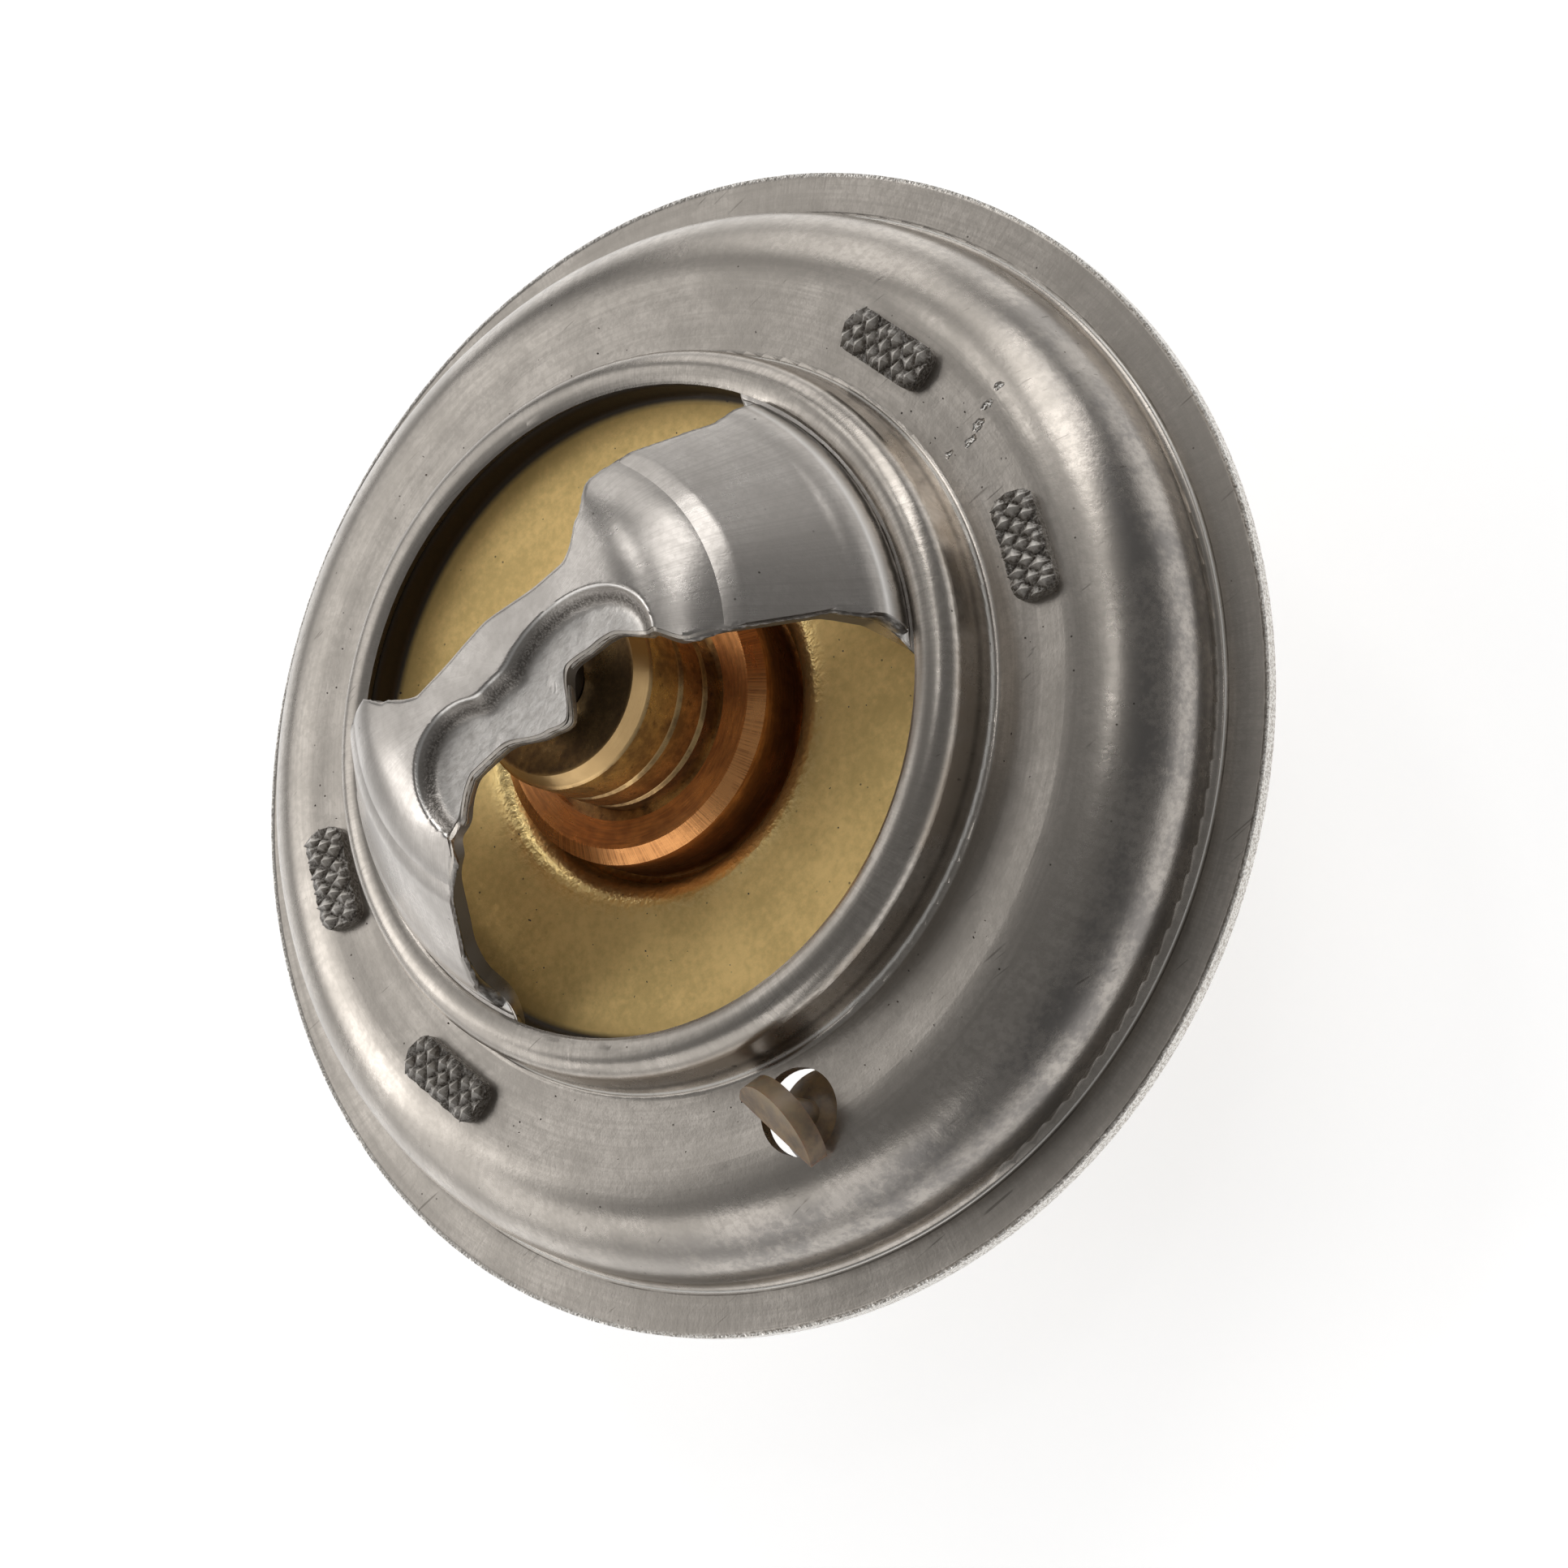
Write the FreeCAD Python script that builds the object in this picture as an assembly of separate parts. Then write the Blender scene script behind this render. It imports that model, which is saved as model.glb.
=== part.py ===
import FreeCAD, Part
import math
import os

# Engine coolant thermostat: a stamped housing with a bridge, a wax-driven valve and a caged spring.
# The frame has +Z along the valve's axis towards the bridge, +X along the bridge,
# and its origin in the middle of the flange's underside. Lengths are in millimetres, angles in degrees.

Vector = FreeCAD.Vector
ORIGIN = Vector(0, 0, 0)
UP = Vector(0, 0, 1)

# Housing: the dome, the ring, the opening and the cage follow the flange's radius
flange_radius = 27.0
flange_width = 2.35
housing_sheet = 0.65
dome_radius = flange_radius - flange_width
dome_round = 4.5
dome_foot_round = 0.5
ring_height = 6.05

# Collar round the opening, with a lip that the disc seats against
collar_inset = 7.9
collar_lean = 0.55
collar_height = 3.8
collar_round = 1.2
collar_foot_round = 0.35
lip_inset = 1.55
lip_drop = 0.65
collar_foot_radius = dome_radius - collar_inset
collar_top_radius = collar_foot_radius - collar_lean
collar_top_height = ring_height + collar_height
lip_radius = collar_top_radius - lip_inset
lip_height = collar_top_height - lip_drop

# Bridge: cone-shaped legs that rise from the lip, shoulders, and the narrow crown between them
crown_height = 18.07
leg_slope = 54.0
leg_root_overlap = 0.35
leg_root_drop = 0.12
leg_root_sheet = 0.5
leg_bend_inset = 0.7
leg_bend_drop = 0.05
leg_bend_round = 0.6
leg_knee_inset = 1.35
leg_knee_rise = 2.1
leg_knee_round = 5.0
shoulder_round = 5.0
leg_root_radius = lip_radius + leg_root_overlap
leg_root_height = lip_height - leg_root_drop
leg_bend_radius = lip_radius - leg_bend_inset
leg_bend_height = lip_height - leg_bend_drop
leg_knee_radius = lip_radius - leg_knee_inset
leg_knee_height = lip_height + leg_knee_rise
arc_blend_start = 4.0
arc_blend_end = 7.5
bridge_step = 0.35
bridge_columns = 15

# Half width of the bridge, at shares of the way from the axis to the leg's root
bridge_half_widths = [
    (0.0, 2.45), (0.19, 2.1), (0.3, 2.08), (0.467, 3.4), (0.567, 4.65),
    (0.82, 5.35), (0.9, 6.05), (0.977, 7.9), (1.0, 8.2),
]
width_ease = 0.3

# How far each edge stands out at an x: in front a tongue over the piston and a notch beside it,
# and behind a fuller crown and a slimmer -X leg
front_edge_shifts = [(-2.6, 0.0), (-0.5, 0.75), (0.5, 1.05), (1.85, -0.75), (3.4, -0.45), (5.6, 0.0)]
back_edge_shifts = [(-15.0, 0.0), (-14.2, -0.8), (-11.5, -0.5), (-8.5, 0.0), (-3.0, 0.35), (6.0, 0.0)]

# Trough pressed into the crown and open in front: its lobes' centre x, centre y, half length, half width
trough_depth = 0.95
trough_wall = 0.9
lobe_blend = 0.5
trough_lobes = [(2.4, -2.3, 4.25, 3.1), (-3.9, -2.6, 3.0, 3.35), (-1.2, -2.7, 3.0, 2.85)]

# Fall of the crown towards its back edge
crown_fall = 0.3
crown_fall_start = 5.0
crown_fall_end = 9.0

# Piston and the pocket under the crown that holds its tip
piston_radius = 1.3
piston_length = 24.62
piston_drop = 1.45
piston_chamfer = 0.2
slide_clearance = 0.03
pocket_radius = 1.9
pocket_depth = 1.37
pocket_cover = 0.3
piston_top = crown_height - piston_drop
piston_bottom = piston_top - piston_length
pocket_bottom = piston_top - pocket_depth

# Valve disc: its rim seats under the lip, and its neck is drawn down to a shelf round the cup
disc_sheet = 0.6
seat_clearance = 0.03
disc_overlap = 0.8
disc_step_outset = 0.2
disc_step_run = 0.25
disc_step_depth = 1.95
disc_neck_radius = 7.35
disc_neck_depth = 1.65
disc_neck_round = 1.25
disc_corner_round = 0.4
disc_radius = lip_radius + disc_overlap
disc_step_radius = lip_radius + disc_step_outset
disc_flat_height = lip_height - disc_step_depth
disc_shelf_height = disc_flat_height - disc_neck_depth

# Wax cup
cup_sheet = 0.55
cup_radius = 6.3
cup_length = 23.0
cup_flange_radius = 6.98
cup_flange_height = 3.7
cup_bevel_height = 0.52
cup_bevel_inset = 0.63
cup_crimp_radius = 5.1
cup_corner_round = 1.2
cup_fit = 0.03
cup_top_height = disc_shelf_height + cup_flange_height
cup_bottom_height = disc_shelf_height - cup_length

# Guide, in the cup's mouth
guide_radius = 4.55
guide_top_gap = 3.3
guide_top_radius = 4.1
guide_chamfer_radius = 4.43
guide_chamfer_height = 0.73
guide_shoulder_height = 0.1
guide_dish_depth = 0.4
guide_groove_shares = (0.457, 0.112)
guide_groove_half_width = 0.2
guide_groove_depth = 0.16
guide_flange_height = 1.5
guide_flange_chamfer = 0.4
guide_top_height = crown_height - guide_top_gap
guide_flange_top = cup_top_height - cup_sheet
guide_flange_bottom = guide_flange_top - guide_flange_height
guide_flange_radius = cup_flange_radius - cup_sheet - cup_fit

# Seals and wax inside the cup
backup_ring_radius = 2.6
backup_ring_height = 0.8
sleeve_radius = 3.0
sleeve_end = 1.5
piston_end_gap = 0.1
sleeve_bottom = piston_bottom - sleeve_end

# Main spring, round the disc's neck
spring_wire_radius = 0.8
spring_neck_gap = 0.7
spring_play = 1.35
spring_turns = 7.0
spring_end_turns = 1.0
spring_ground_share = 0.6
spring_sides = 8
spring_steps_per_turn = 18
spring_radius = disc_neck_radius + disc_sheet + spring_neck_gap + spring_wire_radius

# Cage under the housing, with four tabs staked through the ring and a neck that guides the cup
cage_sheet = 1.0
cage_clearance = 0.08
cage_inset = 4.95
cage_bend_height = -0.5
cage_neck_overlap = 1.0
cage_neck_length = 1.4
cage_floor_rise = 2.2
cage_leg_half_angle = 25.4
cage_bend_round = 4.0
cage_corner_round = 1.6
cage_neck_round = 1.2
cage_radius = dome_radius - cage_inset
cage_bottom_radius = spring_radius + spring_wire_radius + spring_play + cage_sheet
cage_neck_end = cup_bottom_height - cage_neck_overlap
cage_bottom_height = cage_neck_end + cage_neck_length

# Tabs of the cage, with knurled staked heads
tab_angle = 18.2
tab_length = 4.4
tab_clearance = 0.05
tab_head_length = 4.8
tab_head_width = 2.1
tab_head_height = 0.75
tab_head_round = 0.6
knurl_spacing = 1.05
knurl_depth = 0.3
knurl_slant = 40.0
cut_margin = 0.01

# Vent hole and its loose pin
vent_angle = -103.4
vent_inset = 5.35
vent_radius = 1.93
vent_circle_radius = dome_radius - vent_inset
pin_leaf_half_length = 2.4
pin_leaf_height = 2.4
pin_leaf_thickness = 0.9
pin_leaf_shift = 0.35
pin_stem_radius = 0.6
pin_ball_radius = 2.3
pin_lift = 1.0
pin_turn = -75.5
pin_lean = 38.0
pin_rest_clearance = 0.03


def polar(radius, angle, height=0.0):
    """Point at a radius and an angle about the axis."""
    return Vector(radius * math.cos(math.radians(angle)), radius * math.sin(math.radians(angle)), height)


def profile_point(point):
    """Point of a turned profile, given as radius and height."""
    return Vector(point[0], 0, point[1])


def smooth_step(value):
    """Rise from 0 to 1 with level ends as the value goes from 0 to 1."""
    value = min(max(value, 0.0), 1.0)
    return value * value * (3 - 2 * value)


def rounded_path(corners, rounds):
    """Edges of a path through the corners, with each inner corner rounded."""
    points = [profile_point(corner) for corner in corners]
    edges = []
    start = points[0]
    for index in range(1, len(points) - 1):
        corner = points[index]
        back = (points[index - 1] - corner).normalize()
        onward = (points[index + 1] - corner).normalize()
        half_angle = back.getAngle(onward) / 2
        reach = rounds[index - 1] / math.tan(half_angle)
        if reach < 1e-6:
            edges.append(Part.makeLine(start, corner))
            start = corner
            continue
        arc_start = corner + back * reach
        arc_end = corner + onward * reach
        to_centre = (back + onward).normalize() * (rounds[index - 1] / math.sin(half_angle))
        arc_middle = corner + to_centre - to_centre.normalize() * rounds[index - 1]
        if (arc_start - start).Length > 1e-6:
            edges.append(Part.makeLine(start, arc_start))
        edges.append(Part.Arc(arc_start, arc_middle, arc_end).toShape())
        start = arc_end
    edges.append(Part.makeLine(start, points[-1]))
    return edges


def offset_corners(corners, distance):
    """Corners of the parallel path, to the left of the path's direction by the distance."""
    moved = []
    normals = []
    for (radius_a, height_a), (radius_b, height_b) in zip(corners[:-1], corners[1:]):
        length = math.hypot(radius_b - radius_a, height_b - height_a)
        normals.append((-(height_b - height_a) / length, (radius_b - radius_a) / length))
    for index, (radius, height) in enumerate(corners):
        before = normals[max(index - 1, 0)]
        after = normals[min(index, len(normals) - 1)]
        share = 1 + before[0] * after[0] + before[1] * after[1]
        moved.append((radius + distance * (before[0] + after[0]) / share,
                      height + distance * (before[1] + after[1]) / share))
    return moved


def sheet_section(corners, rounds, thickness):
    """Face of a bent sheet's section: the path is one skin, and the other lies to its left."""
    other = offset_corners(corners, thickness)
    other_rounds = []
    for index in range(1, len(corners) - 1):
        (radius_a, height_a), (radius_b, height_b), (radius_c, height_c) = corners[index - 1:index + 2]
        turn = (radius_b - radius_a) * (height_c - height_b) - (height_b - height_a) * (radius_c - radius_b)
        inner = rounds[index - 1] - thickness if turn > 0 else rounds[index - 1] + thickness
        other_rounds.append(max(inner, 0.0))
    edges = rounded_path(corners, rounds)
    edges += rounded_path(other, other_rounds)
    edges.append(Part.makeLine(profile_point(corners[0]), profile_point(other[0])))
    edges.append(Part.makeLine(profile_point(corners[-1]), profile_point(other[-1])))
    return Part.Face(Part.Wire(Part.__sortEdges__(edges)))


def turned(face):
    """Full turn of a profile about the axis."""
    return face.revolve(ORIGIN, UP, 360)


def turned_polygon(points):
    """Solid turned from a closed outline of straight lines, given as radius and height."""
    outline = [profile_point(point) for point in points]
    return turned(Part.Face(Part.makePolygon(outline + outline[:1])))


def tube(inner_radius, outer_radius, bottom, top):
    """Round tube about the axis."""
    return turned_polygon([(inner_radius, bottom), (outer_radius, bottom),
                           (outer_radius, top), (inner_radius, top)])


def wedge(middle_angle, half_angle, bottom, top):
    """Wedge from the axis outwards, past every piece."""
    reach = 3 * flange_radius
    corners = [ORIGIN]
    for share in (-1.0, -0.3, 0.3, 1.0):
        corners.append(polar(reach, middle_angle + share * half_angle))
    block = Part.Face(Part.makePolygon(corners + corners[:1])).extrude(UP * (top - bottom))
    block.translate(UP * bottom)
    return block


def arc_block(inner_radius, outer_radius, middle_angle, arc_length, bottom, top):
    """Block that follows the circle about the axis, with square ends."""
    half_angle = math.degrees(arc_length / (inner_radius + outer_radius))
    return tube(inner_radius, outer_radius, bottom, top).common(wedge(middle_angle, half_angle, bottom, top))


def leg_path():
    """Top line of the bridge in the plane along it, from the collar to the axis."""
    crown_corner = leg_knee_radius - (crown_height - leg_knee_height) / math.tan(math.radians(leg_slope))
    corners = [(leg_root_radius, leg_root_height), (leg_bend_radius, leg_bend_height),
               (leg_knee_radius, leg_knee_height), (crown_corner, crown_height), (0.0, crown_height)]
    return Part.Wire(rounded_path(corners, [leg_bend_round, leg_knee_round, shoulder_round]))


def eased(table, place, ease):
    """Value of a table at a place, with steps eased from straight (0) to smooth (1)."""
    if place <= table[0][0]:
        return table[0][1]
    for (near, near_value), (far, far_value) in zip(table[:-1], table[1:]):
        if place <= far:
            share = (place - near) / (far - near)
            share += ease * (smooth_step(share) - share)
            return near_value + (far_value - near_value) * share
    return table[-1][1]


def bridge_edges(side, radius):
    """Front and back edges of the bridge, as y, at a distance from the axis along +X (1) or -X (-1)."""
    half_width = eased(bridge_half_widths, radius / leg_root_radius, width_ease)
    front = -half_width - eased(front_edge_shifts, side * radius, 1.0)
    back = half_width + eased(back_edge_shifts, side * radius, 1.0)
    return front, back


def soft_most(first, second, blend):
    """The larger of two values, with the change from one to the other rounded off."""
    nearness = max(blend - abs(first - second), 0.0) / blend
    return max(first, second) + nearness * nearness * blend / 4


def trough(x, y):
    """Depth of the pressed trough at a point of the crown: steep at its rim, easing into its floor."""
    reach = -1 / trough_wall
    for centre_x, centre_y, half_length, lobe_half_width in trough_lobes:
        share = math.hypot((x - centre_x) / half_length, (y - centre_y) / lobe_half_width)
        reach = soft_most(reach, (1 - share) * lobe_half_width / trough_wall, lobe_blend)
    return trough_depth * (1 - (1 - min(max(reach, 0.0), 1.0)) ** 2)


def fall(x, y):
    """How far the crown falls at a point towards its back edge."""
    back = bridge_edges(math.copysign(1, x), abs(x))[1]
    crown_share = 1 - smooth_step((abs(x) - crown_fall_start) / (crown_fall_end - crown_fall_start))
    return crown_fall * crown_share * (max(y, 0.0) / back) ** 2


def unpressed_point(side, station, across):
    """Point of the bent strip's top skin before the trough is pressed. Across is 0 in front, 1 behind."""
    front, back = bridge_edges(side, station.x)
    y = front + (back - front) * across
    arc_share = smooth_step((station.x - arc_blend_start) / (arc_blend_end - arc_blend_start))
    sagitta = station.x - math.sqrt(max(station.x * station.x - y * y, 0.0))
    return Vector(side * (station.x - arc_share * sagitta), y, station.z)


def bridge_skins():
    """Grids of points that shape the top and bottom skins, from the +X leg to the -X leg."""
    stations = leg_path().discretize(Distance=bridge_step)
    rows = [(1, station) for station in stations[:-1]]
    rows += [(-1, station) for station in reversed(stations)]
    bent = []
    for side, station in rows:
        bent.append([unpressed_point(side, station, column / (bridge_columns - 1))
                     for column in range(bridge_columns)])
    top = []
    bottom = []
    for row, (side, station) in enumerate(rows):
        before = bent[max(row - 1, 0)]
        after = bent[min(row + 1, len(bent) - 1)]
        thinning = smooth_step((leg_root_radius - station.x) / (leg_root_radius - leg_knee_radius))
        thickness = leg_root_sheet + (housing_sheet - leg_root_sheet) * thinning
        top_line = []
        bottom_line = []
        for column, point in enumerate(bent[row]):
            left = bent[row][max(column - 1, 0)]
            right = bent[row][min(column + 1, bridge_columns - 1)]
            normal = (after[column] - before[column]).cross(right - left).normalize()
            if normal.z < 0:
                normal = normal * -1
            pressed = UP * (trough(point.x, point.y) + fall(point.x, point.y))
            top_line.append(point - pressed)
            bottom_line.append(point - normal * thickness - pressed)
        top.append(top_line)
        bottom.append(bottom_line)
    return top, bottom


def smooth_skin(grid):
    """Cubic skin shaped by a grid of points, which ends on the grid's rim."""
    knots = []
    repeats = []
    for count in (len(grid), len(grid[0])):
        knots.append([float(knot) for knot in range(count - 2)])
        repeats.append([4] + [1] * (count - 4) + [4])
    surface = Part.BSplineSurface()
    surface.buildFromPolesMultsKnots(grid, repeats[0], repeats[1], knots[0], knots[1], False, False, 3, 3)
    return surface.toShape()


def bridge_strip():
    """The bridge as one bent and pressed strip of sheet, let into the collar at both ends."""
    top, bottom = bridge_skins()
    skins = [smooth_skin(top), smooth_skin(bottom)]
    rims = [Part.makeRuledSurface(top_edge, bottom_edge)
            for top_edge, bottom_edge in zip(skins[0].Edges, skins[1].Edges)]
    shell = Part.makeShell(skins + rims)
    shell.sewShape()
    return Part.Solid(shell)


def make_housing():
    """The stamping: flange, dome, ring, collar and bridge, with its pocket, slots and vent hole."""
    corners = [(flange_radius, housing_sheet), (dome_radius, housing_sheet), (dome_radius, ring_height),
               (collar_foot_radius, ring_height), (collar_top_radius, collar_top_height),
               (lip_radius, lip_height)]
    rounds = [dome_foot_round, dome_round, collar_foot_round, collar_round]
    body = turned(sheet_section(corners, rounds, housing_sheet))
    body = body.fuse(bridge_strip())
    body = body.fuse(Part.makeCylinder(pocket_radius, pocket_depth + pocket_cover, UP * pocket_bottom))
    body = body.cut(Part.makeCylinder(piston_radius, 2 * pocket_depth, UP * (pocket_bottom - pocket_depth)))
    slot_bottom = ring_height - 2 * housing_sheet
    slot_top = ring_height + housing_sheet
    for angle in tab_angles():
        slot = arc_block(cage_radius - cage_sheet - tab_clearance, cage_radius + tab_clearance,
                         angle, tab_length + 2 * tab_clearance, slot_bottom, slot_top)
        body = body.cut(slot)
    vent = Part.makeCylinder(vent_radius, slot_top - slot_bottom,
                             polar(vent_circle_radius, vent_angle, slot_bottom))
    return body.cut(vent)


def tab_angles():
    """Angles of the four tabs."""
    return [middle + side * tab_angle for middle in (0, 180) for side in (-1, 1)]


def knurled_head(angle):
    """Staked end of a tab: a rounded block with crossed grooves."""
    block = Part.makeBox(tab_head_width, tab_head_length, tab_head_height,
                         Vector(-tab_head_width / 2, -tab_head_length / 2, 0))
    upright = [edge for edge in block.Edges if abs(edge.tangentAt(edge.FirstParameter).z) > 0.9]
    block = block.makeFillet(tab_head_round, upright)
    groove_length = 2 * tab_head_length
    grooves_each_way = int(tab_head_length / knurl_spacing / 2) + 1
    section = [Vector(-knurl_spacing / 2, 0, cut_margin), Vector(0, 0, -knurl_depth),
               Vector(knurl_spacing / 2, 0, cut_margin)]
    for slant in (-knurl_slant, knurl_slant):
        for index in range(-grooves_each_way, grooves_each_way + 1):
            groove = Part.Face(Part.makePolygon(section + section[:1])).extrude(Vector(0, groove_length, 0))
            groove.translate(Vector(index * knurl_spacing, -groove_length / 2, tab_head_height))
            groove.rotate(ORIGIN, UP, slant)
            block = block.cut(groove)
    block.translate(Vector(cage_radius - cage_sheet / 2, 0, ring_height))
    block.rotate(ORIGIN, UP, angle)
    return block


def make_cage():
    """The cage that holds the spring: two curved legs, a bottom ring with a neck, and four tabs."""
    ring_underside = ring_height - housing_sheet
    cage_floor = cage_bottom_height + cage_sheet
    neck_radius = cup_radius + cage_clearance
    corners = [(cage_radius - cage_sheet, ring_underside), (cage_radius - cage_sheet, cage_bend_height),
               (cage_bottom_radius - cage_sheet, cage_floor), (neck_radius, cage_floor),
               (neck_radius, cage_neck_end)]
    rounds = [cage_bend_round, cage_corner_round, cage_neck_round]
    cage = turned(sheet_section(corners, rounds, cage_sheet))
    window_half_angle = 90 - cage_leg_half_angle
    for middle in (90, 270):
        cage = cage.cut(wedge(middle, window_half_angle, cage_bottom_height + cage_floor_rise, ring_height))
    for angle in tab_angles():
        cage = cage.fuse(arc_block(cage_radius - cage_sheet, cage_radius, angle, tab_length,
                                   ring_underside - cage_sheet, ring_height + tab_head_height / 3))
        cage = cage.fuse(knurled_head(angle))
    return cage


def make_valve_disc():
    """The brass disc: raised rim, flat, and a neck drawn down round the cup."""
    rim_height = lip_height - housing_sheet - seat_clearance
    corners = [(cup_radius + cup_fit, disc_shelf_height), (disc_neck_radius, disc_shelf_height),
               (disc_neck_radius, disc_flat_height), (disc_step_radius - disc_step_run, disc_flat_height),
               (disc_step_radius, rim_height), (disc_radius, rim_height)]
    rounds = [disc_corner_round, disc_corner_round, disc_neck_round, disc_corner_round]
    return turned(sheet_section(corners[::-1], rounds, disc_sheet))


def make_wax_cup():
    """The copper cup, with its mouth crimped over the guide."""
    corners = [(0.0, cup_bottom_height), (cup_radius, cup_bottom_height), (cup_radius, disc_shelf_height),
               (cup_flange_radius, disc_shelf_height), (cup_flange_radius, cup_top_height - cup_bevel_height),
               (cup_flange_radius - cup_bevel_inset, cup_top_height), (cup_crimp_radius, cup_top_height)]
    rounds = [cup_corner_round, 0.0, 0.0, 0.0, 0.0]
    return turned(sheet_section(corners, rounds, cup_sheet))


def make_guide():
    """The turned guide: bore, dished top, chamfer, two grooves, and the flange under the crimp."""
    bore = piston_radius + slide_clearance
    chamfer_foot = guide_top_height - guide_chamfer_height
    outline = [(bore, guide_top_height - guide_dish_depth), (guide_top_radius, guide_top_height),
               (guide_chamfer_radius, chamfer_foot), (guide_radius, chamfer_foot - guide_shoulder_height)]
    for share in guide_groove_shares:
        height = cup_top_height + share * (guide_top_height - cup_top_height)
        outline += [(guide_radius, height + guide_groove_half_width),
                    (guide_radius - guide_groove_depth, height),
                    (guide_radius, height - guide_groove_half_width)]
    outline += [(guide_radius, guide_flange_top),
                (guide_flange_radius - guide_flange_chamfer, guide_flange_top),
                (guide_flange_radius, guide_flange_top - guide_flange_chamfer),
                (guide_flange_radius, guide_flange_bottom), (backup_ring_radius, guide_flange_bottom),
                (backup_ring_radius, guide_flange_bottom + backup_ring_height),
                (bore, guide_flange_bottom + backup_ring_height)]
    return turned_polygon(outline)


def make_backup_ring():
    """The hard ring that keeps the sleeve out of the guide's bore."""
    return tube(piston_radius + slide_clearance, backup_ring_radius - slide_clearance,
                guide_flange_bottom, guide_flange_bottom + backup_ring_height)


def make_sleeve():
    """The rubber sleeve round the piston, closed at its foot and clamped by its flange."""
    bore = piston_radius + slide_clearance
    flange_bottom = disc_shelf_height + cup_sheet
    outline = [(bore, guide_flange_bottom), (guide_flange_radius, guide_flange_bottom),
               (guide_flange_radius, flange_bottom), (sleeve_radius, flange_bottom),
               (sleeve_radius, sleeve_bottom + bore), (bore, sleeve_bottom), (0.0, sleeve_bottom),
               (0.0, piston_bottom - piston_end_gap), (bore, piston_bottom - piston_end_gap)]
    return turned_polygon(outline)


def make_wax():
    """The wax charge round the sleeve."""
    outer = cup_radius - cup_sheet - cup_fit
    inner = sleeve_radius + cup_fit
    bottom = cup_bottom_height + cup_sheet + cup_fit
    top = disc_shelf_height + cup_sheet
    outline = [(0.0, bottom), (outer - cup_corner_round, bottom), (outer, bottom + cup_corner_round),
               (outer, top), (inner, top), (inner, sleeve_bottom - cup_fit), (0.0, sleeve_bottom - cup_fit)]
    return turned_polygon(outline)


def make_piston():
    """The piston, its tip in the bridge's pocket and its foot in the sleeve."""
    outline = [(0.0, piston_bottom), (piston_radius - slide_clearance - piston_chamfer, piston_bottom),
               (piston_radius - slide_clearance, piston_bottom + piston_chamfer),
               (piston_radius - slide_clearance, piston_top - piston_chamfer),
               (piston_radius - slide_clearance - piston_chamfer, piston_top), (0.0, piston_top)]
    return turned_polygon(outline)


def make_main_spring():
    """The coil spring between the cage's floor and the disc, with closed and ground ends."""
    floor = cage_bottom_height + cage_sheet
    ceiling = disc_flat_height - disc_sheet
    end_pitch = 2 * spring_wire_radius
    low = floor + spring_wire_radius * spring_ground_share
    high = ceiling - spring_wire_radius * spring_ground_share
    active_turns = spring_turns - 2 * spring_end_turns
    active_pitch = (high - low - 2 * spring_end_turns * end_pitch) / active_turns
    sections = []
    for step in range(int(spring_turns * spring_steps_per_turn) + 1):
        turn = step / spring_steps_per_turn
        in_low_end = min(turn, spring_end_turns)
        in_active = min(max(turn - spring_end_turns, 0.0), active_turns)
        in_high_end = max(turn - spring_end_turns - active_turns, 0.0)
        height = low + (in_low_end + in_high_end) * end_pitch + in_active * active_pitch
        centre = polar(spring_radius, 360 * turn, height)
        outward = polar(1.0, 360 * turn)
        corners = []
        for side in range(spring_sides):
            around = 2 * math.pi * (side + 0.5) / spring_sides
            corners.append(centre + outward * (spring_wire_radius * math.cos(around))
                           + UP * (spring_wire_radius * math.sin(around)))
        sections.append(Part.makePolygon(corners + corners[:1]))
    coil = Part.makeLoft(sections, True, True)
    room_half_width = 2 * spring_wire_radius
    return coil.common(tube(spring_radius - room_half_width, spring_radius + room_half_width, floor, ceiling))


def make_jiggle_pin():
    """The loose vent pin: a leaf that leans over the ring, a stem in the hole, and a ball below."""
    arch = [Vector(-pin_leaf_half_length, 0, 0), Vector(0, 0, pin_leaf_height),
            Vector(pin_leaf_half_length, 0, 0)]
    outline = Part.Wire([Part.Arc(*arch).toShape(), Part.makeLine(arch[2], arch[0])])
    leaf = Part.Face(outline).extrude(Vector(0, pin_leaf_thickness, 0))
    leaf.rotate(ORIGIN, Vector(1, 0, 0), -pin_lean)
    lowest = leaf.optimalBoundingBox().ZMin
    leaf.translate(Vector(0, -pin_leaf_shift - pin_leaf_thickness, pin_rest_clearance - lowest))
    ball_reach = math.sqrt(pin_ball_radius ** 2 - vent_radius ** 2)
    ball_middle = -housing_sheet - ball_reach - pin_lift - pin_rest_clearance
    stem = Part.makeCylinder(pin_stem_radius, pin_leaf_height / 2 - ball_middle, Vector(0, 0, ball_middle))
    ball = Part.makeSphere(pin_ball_radius, Vector(0, 0, ball_middle))
    pin = leaf.fuse(stem).fuse(ball)
    pin.rotate(ORIGIN, UP, pin_turn)
    pin.translate(polar(vent_circle_radius, vent_angle, ring_height))
    return pin


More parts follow.
